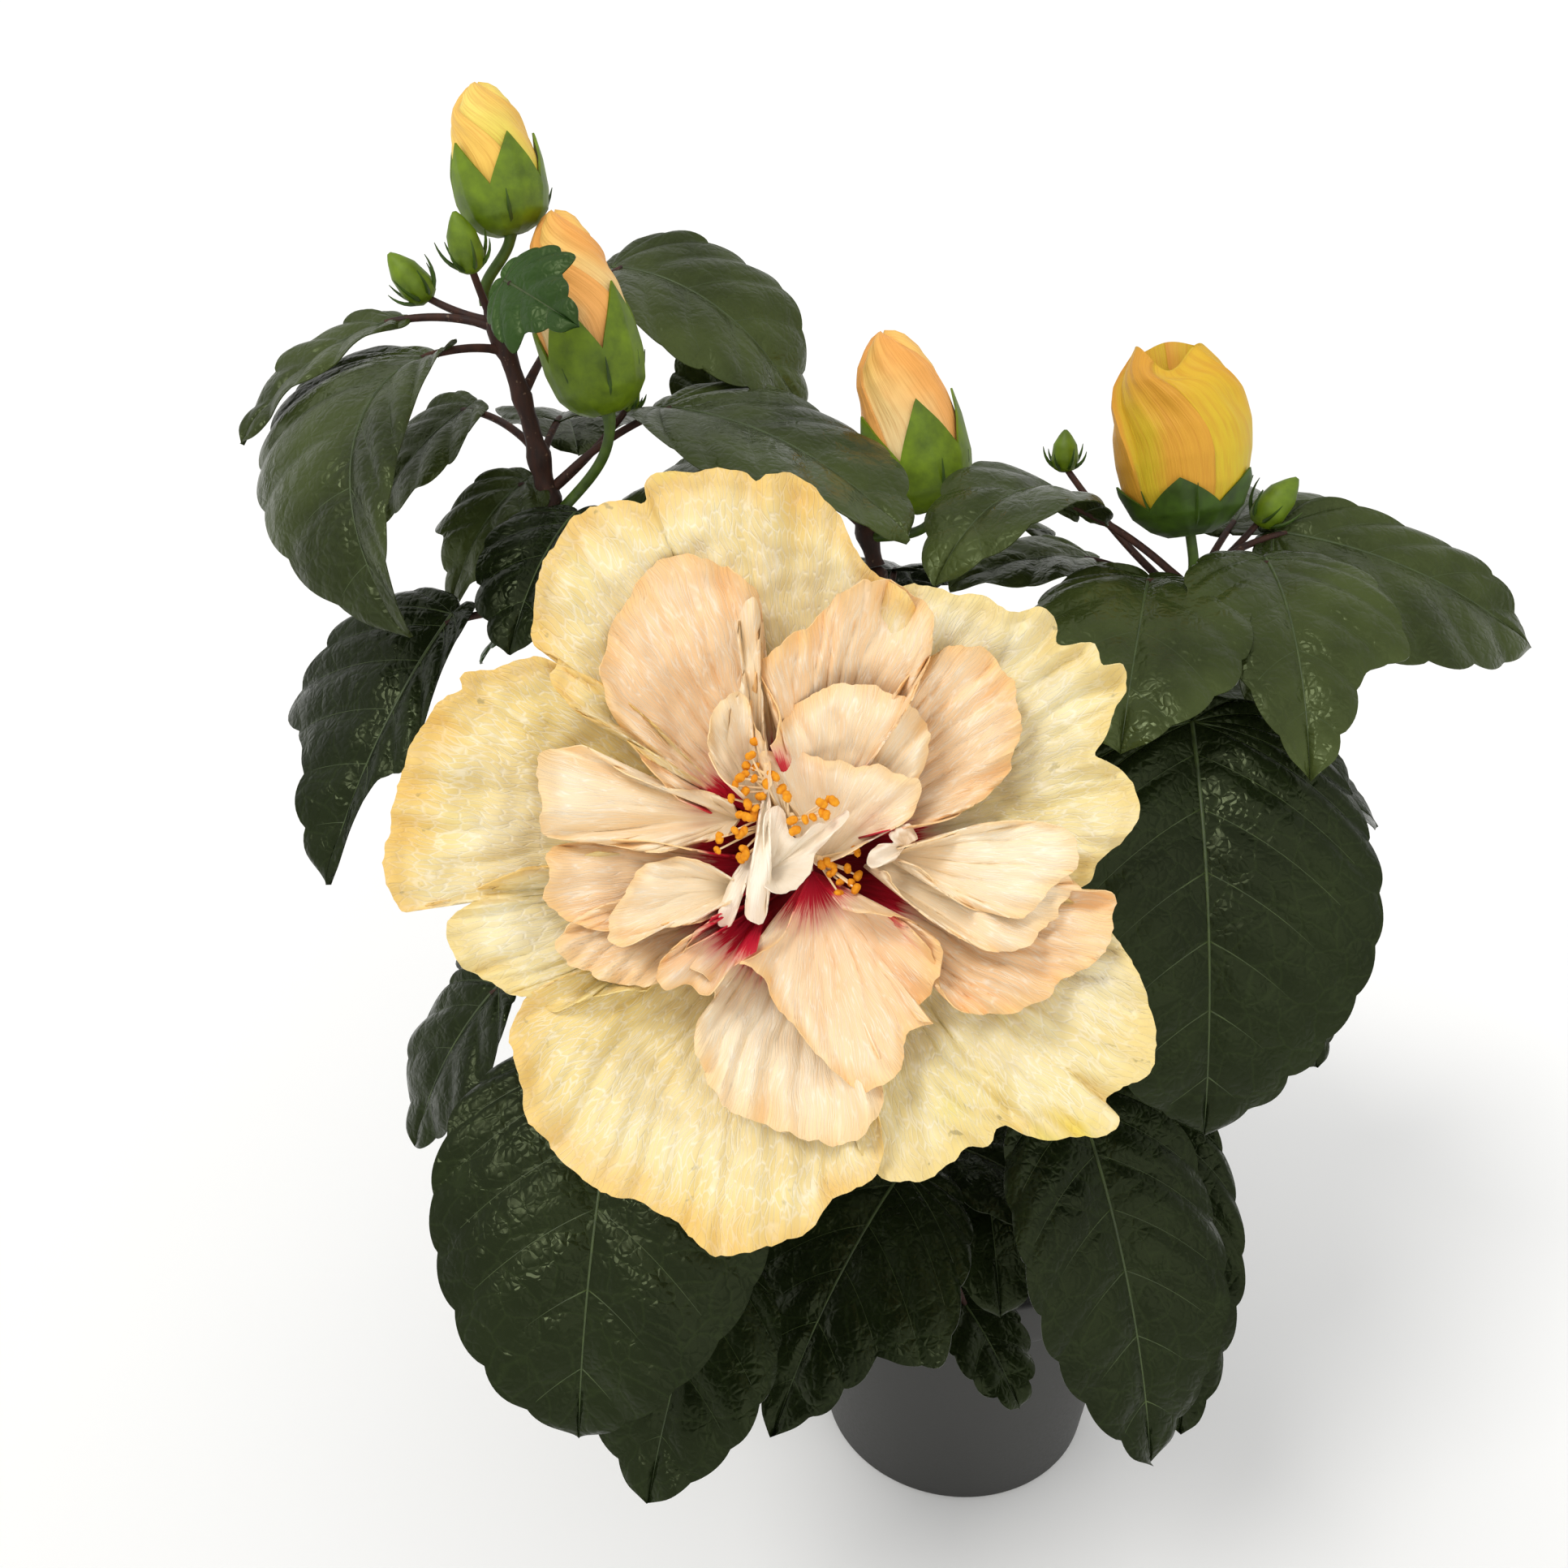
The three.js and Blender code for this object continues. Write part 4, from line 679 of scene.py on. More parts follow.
# The crimson's rings, outermost first: where each is full and where it ends, strength, colour
CRIMSON = ((0.66, 0.8, 0.8, "f3a99c"), (0.62, 0.7, 1, "d4203c"), (0.32, 0.54, 1, "820618"))
OUTER_NET, INNER_NET = (1.65, 0.25), (1.7, 0.1)  # meshes of a petal's veins in a millimetre, across and along
for material, specs in {
    leaf_material: [
        ("leaf_blade", "1d240b", "414b24", 0.29, 0.34),
        ("leaf_shaded", "11170a", "1c2410", 0.25, 0.22),
        ("leaf_young", "1e3512", "2f4d1c", 0.38, 0.3),
    ],
    bark_material: [("petiole_skin", "2c1813", "4a2c20"), ("stem_bark", "24130e", "45291f")],
    plain_material: [
        ("leaf_vein", "333f20", 0.42, "465528"),
        ("stalk_green", "3c5216", 0.5, "506a1f"),
        ("calyx_green", "4d6400", 0.5, "6f8a06", 160),
        ("calyx_dark", "2a3f08", 0.5, "42600f", 160),
        ("pot_plastic", "2e2e2c", 0.52, "373734", 900, 0.12),
        # The peat and its chips: their own dark brown, made darker still as painted shade for the deep shade
        # that the leaves cast on the soil
        ("soil_peat", "150e09", 0.95, "2b1d13", 240, 0.6),
        ("soil_chip", "362318", 0.9, "503726", 300, 0.5),
        ("soil_grain", "a09a8c", 0.9, "a09a8c"),
        ("stamen_thread", "f6d9a6", 0.5, "fbe8c4"),
        ("stamen_anther", "e08a00", 0.75, "f7a91c", 900, 0.6),
    ],
    bud_material: [
        ("bud_yellow", "e2d24c", "f6dc70", "f5c25c"),
        ("bud_peach", "f8dba0", "fac96c", "f6aa54"),
        ("bud_golden", "d2b62a", "dcb02c", "dc9c34"),
    ],
    petal_material: [
        ("petal_outer", "f6e8ba", "edd488", "ecc26a", OUTER_NET, 0.5, True),
        ("petal_outer_pale", "f6ecc6", "eddb98", "ecd287", OUTER_NET, 0.5, True),
        ("petal_inner", "fde4bd", "fad19e", "f9cb88", INNER_NET, 0.5, False),
        ("petal_inner_pale", "fdedcd", "fbdcae", "fbd69c", INNER_NET, 0.5, False),
        ("petaloid", "fff4e0", "feead0", "fff0d8", INNER_NET, 0.3, False),
    ],
}.items():
    for spec in specs:
        material(*spec)


# The pot and its soil
POT = {"height": 105, "foot": 45, "under_rim": 55.5, "rim": 60, "rim_depth": 17, "wall": 1.6, "floor": 2}
DISH = 0.4  # how high the middle of the pot's foot stands
SOIL = {"top": 97, "edge_drop": 3, "flat": 20, "lumps": ((1.6, 9, 0), (1.1, 3.5, 1)), "crumbs": 190}


def turned(profile, sides):
    """A closed skin turned round Z from (radius, height) pairs that start and end on it."""
    points = np.array(profile, float)[:, None]
    turns = np.linspace(0, 2 * np.pi, sides, endpoint=False)
    ring = np.stack([np.cos(turns), np.sin(turns)], -1)
    heights = np.broadcast_to(points[..., 1:], (len(points), sides, 1))
    verts = np.concatenate([points[..., :1] * ring, heights], -1)
    return verts, grid_faces(len(points) - 1, sides, closed=True)[:, ::-1]


def arc(across, up, radius, start, end, steps=6):
    turns = np.radians(np.linspace(start, end, steps))
    return [(across + radius * math.cos(t), up + radius * math.sin(t)) for t in turns]


def outer_radius(z):
    return POT["foot"] + (POT["under_rim"] - POT["foot"]) / (POT["height"] - POT["rim_depth"]) * z


def inner_radius(z):
    return outer_radius(z) - POT["wall"]


def pot():
    top, under, foot, rim = POT["height"], POT["height"] - POT["rim_depth"], POT["foot"], POT["rim"]
    profile = [
        (0, DISH),
        (foot - 8, DISH),
        (foot - 6.5, 0),
        *arc(foot - 1.2, 1.2, 1.2, -90, 0),
        (POT["under_rim"], under - 1),
        *arc(POT["under_rim"] + 0.8, under - 0.2, 0.8, 180, 90, 4),
        *arc(rim - 1.4, under + 1.6, 1, -90, 0, 4),
        (rim - 0.2, under + 4),
        (rim - 0.1, top - 4),
        *arc(rim - 1.2, top - 1.2, 1.2, 0, 90),
        *arc(inner_radius(top) + 0.8, top - 0.8, 0.8, 90, 180),
        (inner_radius(SOIL["top"]), SOIL["top"] - 8),
        (inner_radius(POT["floor"]), POT["floor"]),
        (0, POT["floor"]),
        (0, DISH),
    ]
    heap = Heap()
    heap.add(*welded(*turned(profile, 128)))
    make("pot_skin", heap, ["pot_plastic"], ["pot"], 32)


def soil():
    drop, flat = SOIL["edge_drop"], SOIL["flat"]
    low, edge = POT["floor"] + GAP, SOIL["top"] - drop
    wide = inner_radius(edge) - 2 * GAP
    rings = [(0, low), (inner_radius(low) - 2 * GAP, low), (wide, edge - 4)]
    rings += [(r, edge + drop * (1 - ease(r, flat, wide))) for r in np.linspace(wide, 0, 26)]
    verts, faces = turned([*rings, (0, low)], 96)
    lumps = sum(high * ripples(verts, size, seed) for high, size, seed in SOIL["lumps"]) - SOIL["lumps"][0][0]
    calm = (verts[..., :2] ** 2).sum(-1).clip(0, flat**2) / flat**2  # it is level round the stem
    verts[..., 2] += np.where(verts[..., 2] > edge - 1, lumps * calm, 0)
    heap = Heap()
    heap.add(*welded(verts, faces))
    pick = seeded(5)
    for i in range(SOIL["crumbs"]):
        reach, turn = math.sqrt(pick(0.06, 0.92)) * wide, pick(0, 2 * math.pi)
        height = SOIL["top"] - 1.5 - 1.2 * reach / wide
        spot = np.array([reach * math.cos(turn), reach * math.sin(turn), height])
        grain = i % 5 == 0
        size = pick(0.8, 1.5) if grain else pick(1.6, 3.6)
        way = unit(np.array([pick(-1, 1), pick(-1, 1), pick(-0.35, 0.35)]))
        half = size * (1 if grain else pick(1, 1.9)) * 0.8
        thick = size * (0.9 if grain else 0.42)
        line = spot + np.array([-1, -0.7, 0, 0.7, 1])[:, None] * way * half
        verts, faces = tube(line, np.array([0.25, 0.8, 1, 0.75, 0.2]) * thick, 6)
        verts = verts + 0.25 * thick * np.stack([ripples(verts, 1.3, k) for k in (1, 2, 3)], -1)
        heap.add(verts, faces, 2 if grain else 1)
    make("soil_top", heap, ["soil_peat", "soil_chip", "soil_grain"], ["soil"], 40)


pot()
soil()

# The trunk, the boughs and the shoots
ground = np.array([0, 0, SOIL["top"] + GAP])
fork = np.array([*TRUNK["lean"], ground[2] + TRUNK["height"]])
trunk_curve = Curve(
    ground,
    ground + np.array([0, 0, TRUNK["height"] * TRUNK["handles"][0]]),
    fork + unit(np.array(TRUNK["down"])) * TRUNK["height"] * TRUNK["handles"][1],
    fork,
)
BOUGH_NODES = [0.3 + 0.16 * i for i in range(4)]  # where a bough is swollen
NODE = {"swell": 0.28, "length": 2.6}


def bark(p):
    """Ridges along the bark, knots and pores."""
    long = p * np.array([1, 1, 0.3])
    return 0.34 * ripples(long, 2.1) + 0.22 * ripples(long, 0.9, 2) + 0.5 * ease(ripples(p, 11, 3), 0.25, 0.6)


def stem(heap, curve, radii, sides, swell=()):
    """A limb on a curve; swell lists the shares of its length where leaves leave it."""
    share = np.linspace(0, 1, max(int(curve.length / 1.6), 8) + 1)
    thick = np.interp(share, np.linspace(0, 1, len(radii)), radii)
    for at in swell:
        thick = thick * (1 + NODE["swell"] * np.exp(-(((share - at) * curve.length / NODE["length"]) ** 2)))
    thick[-1] *= 0.6
    heap.add(*tube(curve.at(share), thick, sides, bark))


def bough_curve(takeoff, leave, tip, radii, end):
    start, finish = trunk_curve.at(takeoff), np.array(tip, float)
    span = np.linalg.norm(finish - start)
    compass = math.degrees(math.atan2(finish[1] - start[1], finish[0] - start[0]))
    arrive = unit(np.array(end) - finish)
    first = start + heading(compass, leave) * span * BOUGH_HANDLES[0]
    return Curve(start, first, finish - arrive * span * BOUGH_HANDLES[1], finish)


def shoot_curve(bough, to):
    way = bough.way(1)
    start, finish = bough.at(1) + way * GAP, np.array(to, float)
    return Curve(start, start + way * np.linalg.norm(finish - start) * SHOOT["handle"], finish)


bough_curves = {name: bough_curve(*spec) for name, spec in BOUGHS.items()}
shoots = {name: shoot_curve(bough_curves[spec["bough"]], spec["to"]) for name, spec in MASSES.items()}

stems = Heap()
stem(stems, trunk_curve, TRUNK["radii"], 40)
for name, spec in BOUGHS.items():
    stem(stems, bough_curves[name], spec[3], 18, BOUGH_NODES)
make("stem_bark", stems, ["stem_bark"], ["main_stem", *BOUGHS], 70)

# Leaves. How finely they are cut: the spacing of their teeth, the rows of points in a tooth, the columns from
# the rib to the margin, and how often a vein of a lobed leaf's foot is a strong one
FINE = {"tooth": 12.5, "rows": 9, "columns": 12, "strong": 2}
COARSE = {"tooth": 13.5, "rows": 5, "columns": 7, "strong": 3}
RELIEF = {"bite": 1.7, "bow": 0.05, "swell": 0.085, "widest": 12, "ruffle": 0.021, "half_thick": 0.15}
VEIN = {"rib": 0.62, "strong": 0.4, "weak": 0.24, "end": 0.2, "on_length": 80, "shortest": 0.09}
YOUNG = 32  # a shorter leaf has a young one's colour
ROUNDING = {"steps": 24, "width": 11}


def margin_line(lobed, width):
    """The blade's outline on one side, from the notch at its foot to its tip, in shares of its length."""
    rows = LOBED if lobed else OVATE
    angles = np.linspace(180, 0, 721)
    reach = np.interp(angles, [a for a, _ in rows], [r for _, r in rows])
    steps = ROUNDING["steps"]
    window = np.exp(-((np.arange(-steps, steps + 1) / ROUNDING["width"]) ** 2))
    rounded = np.convolve(np.pad(reach, steps, "edge"), window / window.sum(), "valid")
    share = ease(angles, 5, 14)
    reach = rounded * share + reach * (1 - share)
    turn = np.radians(angles)
    return reach * np.cos(turn), width * reach * np.sin(turn), angles


def leaf_spots(foot, leaf, u, y, rise):
    """Places on a leaf: u along it and y across it as shares of its length, and rise off it."""
    compass, lift, length = leaf["blade"]
    ahead = heading(compass, lift)
    level = np.array([-math.sin(math.radians(compass)), math.cos(math.radians(compass)), 0])
    roll = math.radians(leaf["roll"])
    side = level * math.cos(roll) + np.cross(ahead, level) * math.sin(roll)
    up = np.cross(ahead, side)
    y = y * np.where(y > 0, *leaf["halves"])
    bend = math.radians(leaf["fall"])
    fold = LEAF["fold"] * (np.sqrt(y * y + 1e-4) - 0.01) - LEAF["droop"] * y * y
    turn = (bend * u)[..., None]
    normal = up * np.cos(turn) + ahead * np.sin(turn)
    point = foot + ahead * (length * np.sin(turn) / bend) - up * (length * (1 - np.cos(turn)) / bend)
    point = point + side * ((y - leaf["sway"] * u * u) * length)[..., None]
    return point + normal * (fold * length + rise)[..., None]


def blade(heaps, foot, leaf, pick, cut):
    """A toothed blade, puckered between its veins, with the veins standing a little proud of it."""
    length = leaf["blade"][2]
    mx, my, angles = margin_line(leaf["lobed"], leaf["width"])
    run = np.concatenate([[0], np.cumsum(np.hypot(np.diff(mx), np.diff(my)))])
    per, columns = cut["rows"], cut["columns"]
    teeth = max(int(round(run[-1] * length / cut["tooth"])), 6)
    number = np.arange(teeth * per + 1)
    spots = number / (teeth * per) * run[-1]
    tx, ty, ta = (np.interp(spots, run, line)[:, None] for line in (mx, my, angles))
    waves, phases = pick(1.6, 3.2), (pick(0, 6.3), pick(0, 6.3))
    uneven = [pick(0.4, 1.3) for _ in range(2 * teeth + 2)]
    v = np.linspace(0, 1, columns + 1)[None]
    start = np.clip(tx - ty * 0.85, 0, 1)
    dx = tx - start
    reach = np.maximum(np.hypot(dx, ty), 1e-6)
    bump = np.sin(np.pi * ((number / per) % 1))[:, None] ** 0.8
    weight = ease(-ta, -118, -80) * ease(ta, 0.5, 6)
    bow = RELIEF["bow"] * reach * ease(ta, 2, 12) * 4 * v * (1 - v)
    thin = 0.7 + 0.3 * length / VEIN["on_length"]
    for half, sign in enumerate((1, -1)):
        size = np.array([uneven[half * teeth + min(int(n // per), teeth - 1)] for n in number])[:, None]
        grow = 1 + weight * size * (RELIEF["bite"] / length) * (bump - 0.45) / reach
        u = start + dx * grow * v - ty / reach * bow
        y = ty * grow * v + dx / reach * bow
        gaps = np.hypot(np.gradient(u, axis=0), np.gradient(y, axis=0)) * per * length
        swell = np.minimum(gaps, RELIEF["widest"]) * RELIEF["swell"] * bump * ease(v, 0.02, 0.2)
        wave = np.sin(waves * 6.28 * (number / number[-1])[:, None] + phases[half])
        rise = swell * (1 - 0.6 * ease(v, 0.8, 1)) + RELIEF["ruffle"] * length * v**2 * wave
        top = leaf_spots(foot, leaf, u, y * sign, rise + RELIEF["half_thick"])
        bottom = leaf_spots(foot, leaf, u, y * sign, rise - RELIEF["half_thick"])
        middle = (top + bottom) / 2
        if sign > 0:
            rib = middle[max(int(np.argmax(start > 0)) - 1, 0) :, 0]
        heaps["blade"].append((*shell(top, bottom, flip=sign < 0), int(length < YOUNG)))
        for k in range(1, teeth):
            along = middle[k * per, : int(columns * 0.93)]
            palm = start[k * per, 0] == 0
            short = np.linalg.norm(along[-1] - along[0]) < VEIN["shortest"] * length
            if short or (cut is COARSE and not palm and k % 2):
                continue
            thick = VEIN["strong" if palm and k % cut["strong"] == 0 else "weak"] * thin
            heaps["vein"].append(tube(along, np.linspace(thick, VEIN["end"], len(along)), 4))
    keep = np.concatenate([[True], np.linalg.norm(np.diff(rib, axis=0), axis=1) > 1e-3])
    rib = rib[keep][:-1]
    wide = np.linspace(VEIN["rib"], VEIN["end"], len(rib)) * (0.6 + 0.4 * length / VEIN["on_length"])
    heaps["vein"].append(tube(rib, wide, 6))


def leaf_by_rule(count, seed, start, end, turn, size):
    """The leaves that follow by rule, as in the solids."""
    pick = seeded(seed)
    for i in range(count):
        compass = turn + GOLDEN_ANGLE * i + pick(*RULE["stray"])
        rise = pick(*RULE["rise"])
        length = pick(*size)
        petiole = (compass, rise, length * pick(*RULE["petiole"]))
        side = (compass + pick(*RULE["aside"]), rise - pick(*RULE["dip"]), length)
        fall = pick(*RULE["fall"])
        lobed = pick(0, 1) < RULE["lobed"]
        yield row(start + (end - start) * i / max(count - 1, 1), petiole, side, fall, lobed=lobed)


def leaves_of(mass):
    return [*MASSES[mass]["leaves"], *leaf_by_rule(*MASSES[mass]["more"])]


def leaf_foot(limb, leaf):
    return limb.at(leaf["at"]) + heading(*leaf["petiole"][:2]) * leaf["petiole"][2]


def near_solid(node):
    """How far a point is from a node's skin, in millimetres."""
    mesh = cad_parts[node].data
    tree = BVHTree.FromPolygons([v.co for v in mesh.vertices], [p.vertices for p in mesh.polygons])
    return lambda point: tree.find_nearest(Vector(point * MM))[3] / MM


def small_bud(heaps, shoot, at, stalk, face, length, radius):
    node = shoot.at(at)
    foot = node + heading(*stalk[:2]) * stalk[2]
    bow = (node + foot) / 2 - np.array([0, 0, stalk[2] * 0.08])
    way = heading(*face)
    curve = Curve(node, bow, foot + way * 1.5)
    heaps["stalk"].append(tube(curve.at(np.linspace(0, 1, 14)), np.linspace(1.1, 0.85, 14), 8))
    share = np.linspace(0, 1, 15)
    body = radius * 0.92 * np.interp(share, [0, 0.08, 0.3, 0.65, 0.9, 1], [0.4, 0.8, 1, 0.85, 0.4, 0.12])
    heaps["bud"].append(tube(foot + share[:, None] * way * length, body, 15))
    across = unit(np.cross(way, [0, 0.2, 1]))
    ends = [[(0.5, 0), (0.12 * length, 1.3 * radius), (to * length, 1.45 * radius)] for to in (0.5, 0.62)]
    girths = 0.62 * np.array([1, 1.1, 1, 0.9, 0.75, 0.6, 0.4, 0.15])
    heaps["bract"] += bracts(foot, (way, across, np.cross(way, across)), 7, 0, ends, girths, 5)


def whole_leaf(heaps, limb, leaf, pick, cut):
    node, foot = limb.at(leaf["at"]), leaf_foot(limb, leaf)
    bow = (node + foot) / 2 + np.array([0, 0, PETIOLE["arch"] * leaf["petiole"][2]])
    curve = Curve(node, bow, foot + heading(*leaf["blade"][:2]) * PETIOLE["sunk"])
    share = np.linspace(0, 1, 16)
    thick = np.interp(share, [0, 0.08, 0.2, 0.9, 1], [1.5, 1.3, 1.05, 0.9, 0.7])
    heaps["petiole"].append(tube(curve.at(share), thick, 8))
    blade(heaps, foot, leaf, pick, cut)


# Leaves on the boughs themselves: where they leave them, the ranges that their measures are drawn from, and
# how clear of the others, how high and how near the plant's middle they stand. COVERED gives the circles
# (across, down, radius, in the image's pixels) behind whose petals and leaves the camera doesn't see them.
ON_BOUGHS = {
    "bough_middle": (0.3, 0.42, 0.54, 0.66, 0.78, 0.9),
    "bough_right": (0.3, 0.46, 0.54, 0.62, 0.7, 0.78),
    "bough_left": (0.3, 0.46, 0.62, 0.78),
    "bough_front": (0.4, 0.6, 0.8),
    "bough_right_low": (0.5, 0.65, 0.8),
    "bough_left_low": (0.5, 0.65, 0.8),
    "bough_back_right": (0.5, 0.65, 0.8, 0.9),
    "bough_back_left": (0.5, 0.65, 0.8, 0.9),
    "bough_left_side": (0.5, 0.8),
}
SIDE_LEAF = {"size": (44, 66), "rise": (-5, 30), "lift": 14, "petiole": (0.35, 0.7), "aside": (-16, 16)}
SIDE_LEAF |= {"dip": (6, 20), "fall": (24, 52), "clear": 5.2, "lowest": 118, "middle": -25, "widest": 150}
TRIES = 40
OVER_SOIL = row(0.8, (330, 55, 34), (276, -18, 56), 40)
COVERED = ((985, 1060, 425), (1480, 1130, 215), (1390, 1480, 130), (740, 1500, 170))


def hidden(points):
    away = points - CAMERA["place"]
    down = math.radians(CAMERA["down"])
    ahead = away @ [0, math.cos(down), -math.sin(down)]
    high = away @ [0, math.sin(down), math.cos(down)]
    across = CAMERA["image"] / 2 + CAMERA["focal"] * away[:, 0] / ahead
    below = CAMERA["image"] / 2 - CAMERA["focal"] * high / ahead
    return all(any(math.hypot(a - x, b - y) < r for x, y, r in COVERED) for a, b in zip(across, below))


def blade_points(limb, leaf):
    u, y = np.meshgrid(np.linspace(0.08, 1, 8), np.linspace(-0.36, 0.36, 5))
    return leaf_spots(leaf_foot(limb, leaf), leaf, u, y, np.zeros(u.shape)).reshape(-1, 3)


def leaves_on_boughs():
    """Each is turned on round its bough until it stands clear of the stems and of the other leaves."""
    pick = seeded(4177)
    taken = [c.at(np.linspace(0, 1, 60)) for c in (trunk_curve, *bough_curves.values(), *shoots.values())]
    taken += [blade_points(shoots[mass], leaf) for mass in MASSES for leaf in leaves_of(mass)]
    found, turn = [(bough_curves["bough_front_low"], OVER_SOIL)], 0
    taken.append(blade_points(*found[0]))
    spots = [(bough_curves[name], at) for name, shares in ON_BOUGHS.items() for at in shares]
    for limb, at in spots:
        for _ in range(TRIES):
            turn += GOLDEN_ANGLE
            length, rise = pick(*SIDE_LEAF["size"]), pick(*SIDE_LEAF["rise"])
            petiole = (turn, rise + SIDE_LEAF["lift"], length * pick(*SIDE_LEAF["petiole"]))
            side = (turn + pick(*SIDE_LEAF["aside"]), rise - pick(*SIDE_LEAF["dip"]), length)
            leaf = row(at, petiole, side, pick(*SIDE_LEAF["fall"]))
            points = blade_points(limb, leaf)
            wide = np.abs(points[:, 0] - SIDE_LEAF["middle"]).max() > SIDE_LEAF["widest"]
            if wide or points[:, 2].min() < SIDE_LEAF["lowest"] or not hidden(points):
                continue
            gaps = np.linalg.norm(np.concatenate(taken)[None] - points[:, None], axis=-1)
            if gaps.min() > SIDE_LEAF["clear"]:
                found.append((limb, leaf))
                taken.append(points)
                break
    return found


def grow(masses, name, cut, look, more=()):
    """The leaves, stalks and small buds of some masses, each kind joined into a piece."""
    heaps = {key: [] for key in ("blade", "vein", "petiole", "bud", "stalk", "bract")}
    wood, blades, veins, buds = Heap(), Heap(), Heap(), Heap()
    for mass in masses:
        spec, shoot, distance = MASSES[mass], shoots[mass], near_solid(mass)
        pick = seeded(spec["more"][1] + 1000)
        used = []
        for i, leaf in enumerate(leaves_of(mass)):
            tip = leaf_spots(leaf_foot(shoot, leaf), leaf, np.array(1.0), np.array(0.0), 0)
            if distance(tip) > SOLID_NEAR:
                continue
            used.append(leaf["at"])
            whole_leaf(heaps, shoot, leaf, pick, cut if i < len(spec["leaves"]) else COARSE)
        stem(wood, shoot, SHOOT["radii"], 12, used)
        for bud in spec["buds"]:
            small_bud(heaps, shoot, *bud)
    for limb, leaf in more:
        whole_leaf(heaps, limb, leaf, pick, COARSE)
    for verts, faces, shade in heaps["blade"]:
        blades.add(*welded(verts, faces), shade)
    make("leaves_" + name, blades, [look, "leaf_young"], masses, 60)
    for mesh in heaps["vein"]:
        veins.add(*mesh)
    make("veins_" + name, veins, ["leaf_vein"], masses, 180)
    for mesh in heaps["petiole"]:
        wood.add(*mesh, shade=1)
    make("twigs_" + name, wood, ["stem_bark", "petiole_skin"], masses, 70)
    for shade, key in enumerate(("bud", "stalk", "bract")):
        for mesh in heaps[key]:
            buds.add(*mesh, shade=shade)
    if buds.count:
        make("small_buds_" + name, buds, ["calyx_green", "petiole_skin", "calyx_dark"], masses, 60)


SOLID_NEAR = 1.5  # a leaf whose tip is further from the solid was left out by the rule there
grow(["foliage_left", "foliage_middle", "foliage_right"], "top", FINE, "leaf_blade")
grow(["foliage_left_low", "foliage_front_low", "foliage_right_low"], "low", FINE, "leaf_shaded")
behind = ["foliage_back_left", "foliage_back_right", "foliage_back_low", "foliage_left_side"]
grow(behind, "back", COARSE, "leaf_shaded", leaves_on_boughs())


# Large buds, closed and opening: how wide they are at shares of their length, how many petals lap round them
# and how far, how much wider than that petals and sepals are, the sepals' colour and the petals' tones
BUD_FORMS = {
    False: {
        "rises": [0, 0.04, 0.12, 0.25, 0.45, 0.6, 0.75, 0.87, 0.95, 0.985, 1],
        "girths": [0.3, 0.64, 0.9, 1.02, 1.04, 0.99, 0.87, 0.68, 0.46, 0.28, 0.08],
        **{"laps": 3, "lap": 0.07, "wide": 1.0, "snug": 1.06, "green": "calyx_green", "tones": [1.0] * 5},
    },
    True: {
        "rises": [0, 0.04, 0.12, 0.25, 0.4, 0.55, 0.7, 0.82, 0.91, 0.97, 1],
        "girths": [0.3, 0.56, 0.82, 0.99, 1.07, 1.08, 1.02, 0.9, 0.76, 0.64, 0.57],
        **{"laps": 5, "lap": 0.15, "wide": 1.1, "snug": 1.15, "green": "calyx_dark"},
        "tones": [0.35, 0.8, 0.5, 0.9, 1.0],
    },
}
BUD_SIDES, BUD_ROWS, WHORL_ROWS = 120, 56, 30


def bud_stalk(shoot, at, foot, way):
    leaving = shoot.way(at)
    start = shoot.at(1) + leaving * GAP if at == 1 else shoot.at(at)
    span = np.linalg.norm(foot - start)
    first = start + leaving * span * STALK["handles"][0]
    if at != 1:
        first = start + (foot - start) * STALK["leave"] - np.array([0, 0, STALK["sag"]])
    curve = Curve(start, first, foot - way * span * STALK["handles"][1], foot + way * STALK["sunk"])
    share = np.linspace(0, 1, 24)
    return tube(curve.at(share), np.interp(share, [0, 0.1, 0.85, 1], [1.7, 1.35, 1.3, 2.0]), 10)


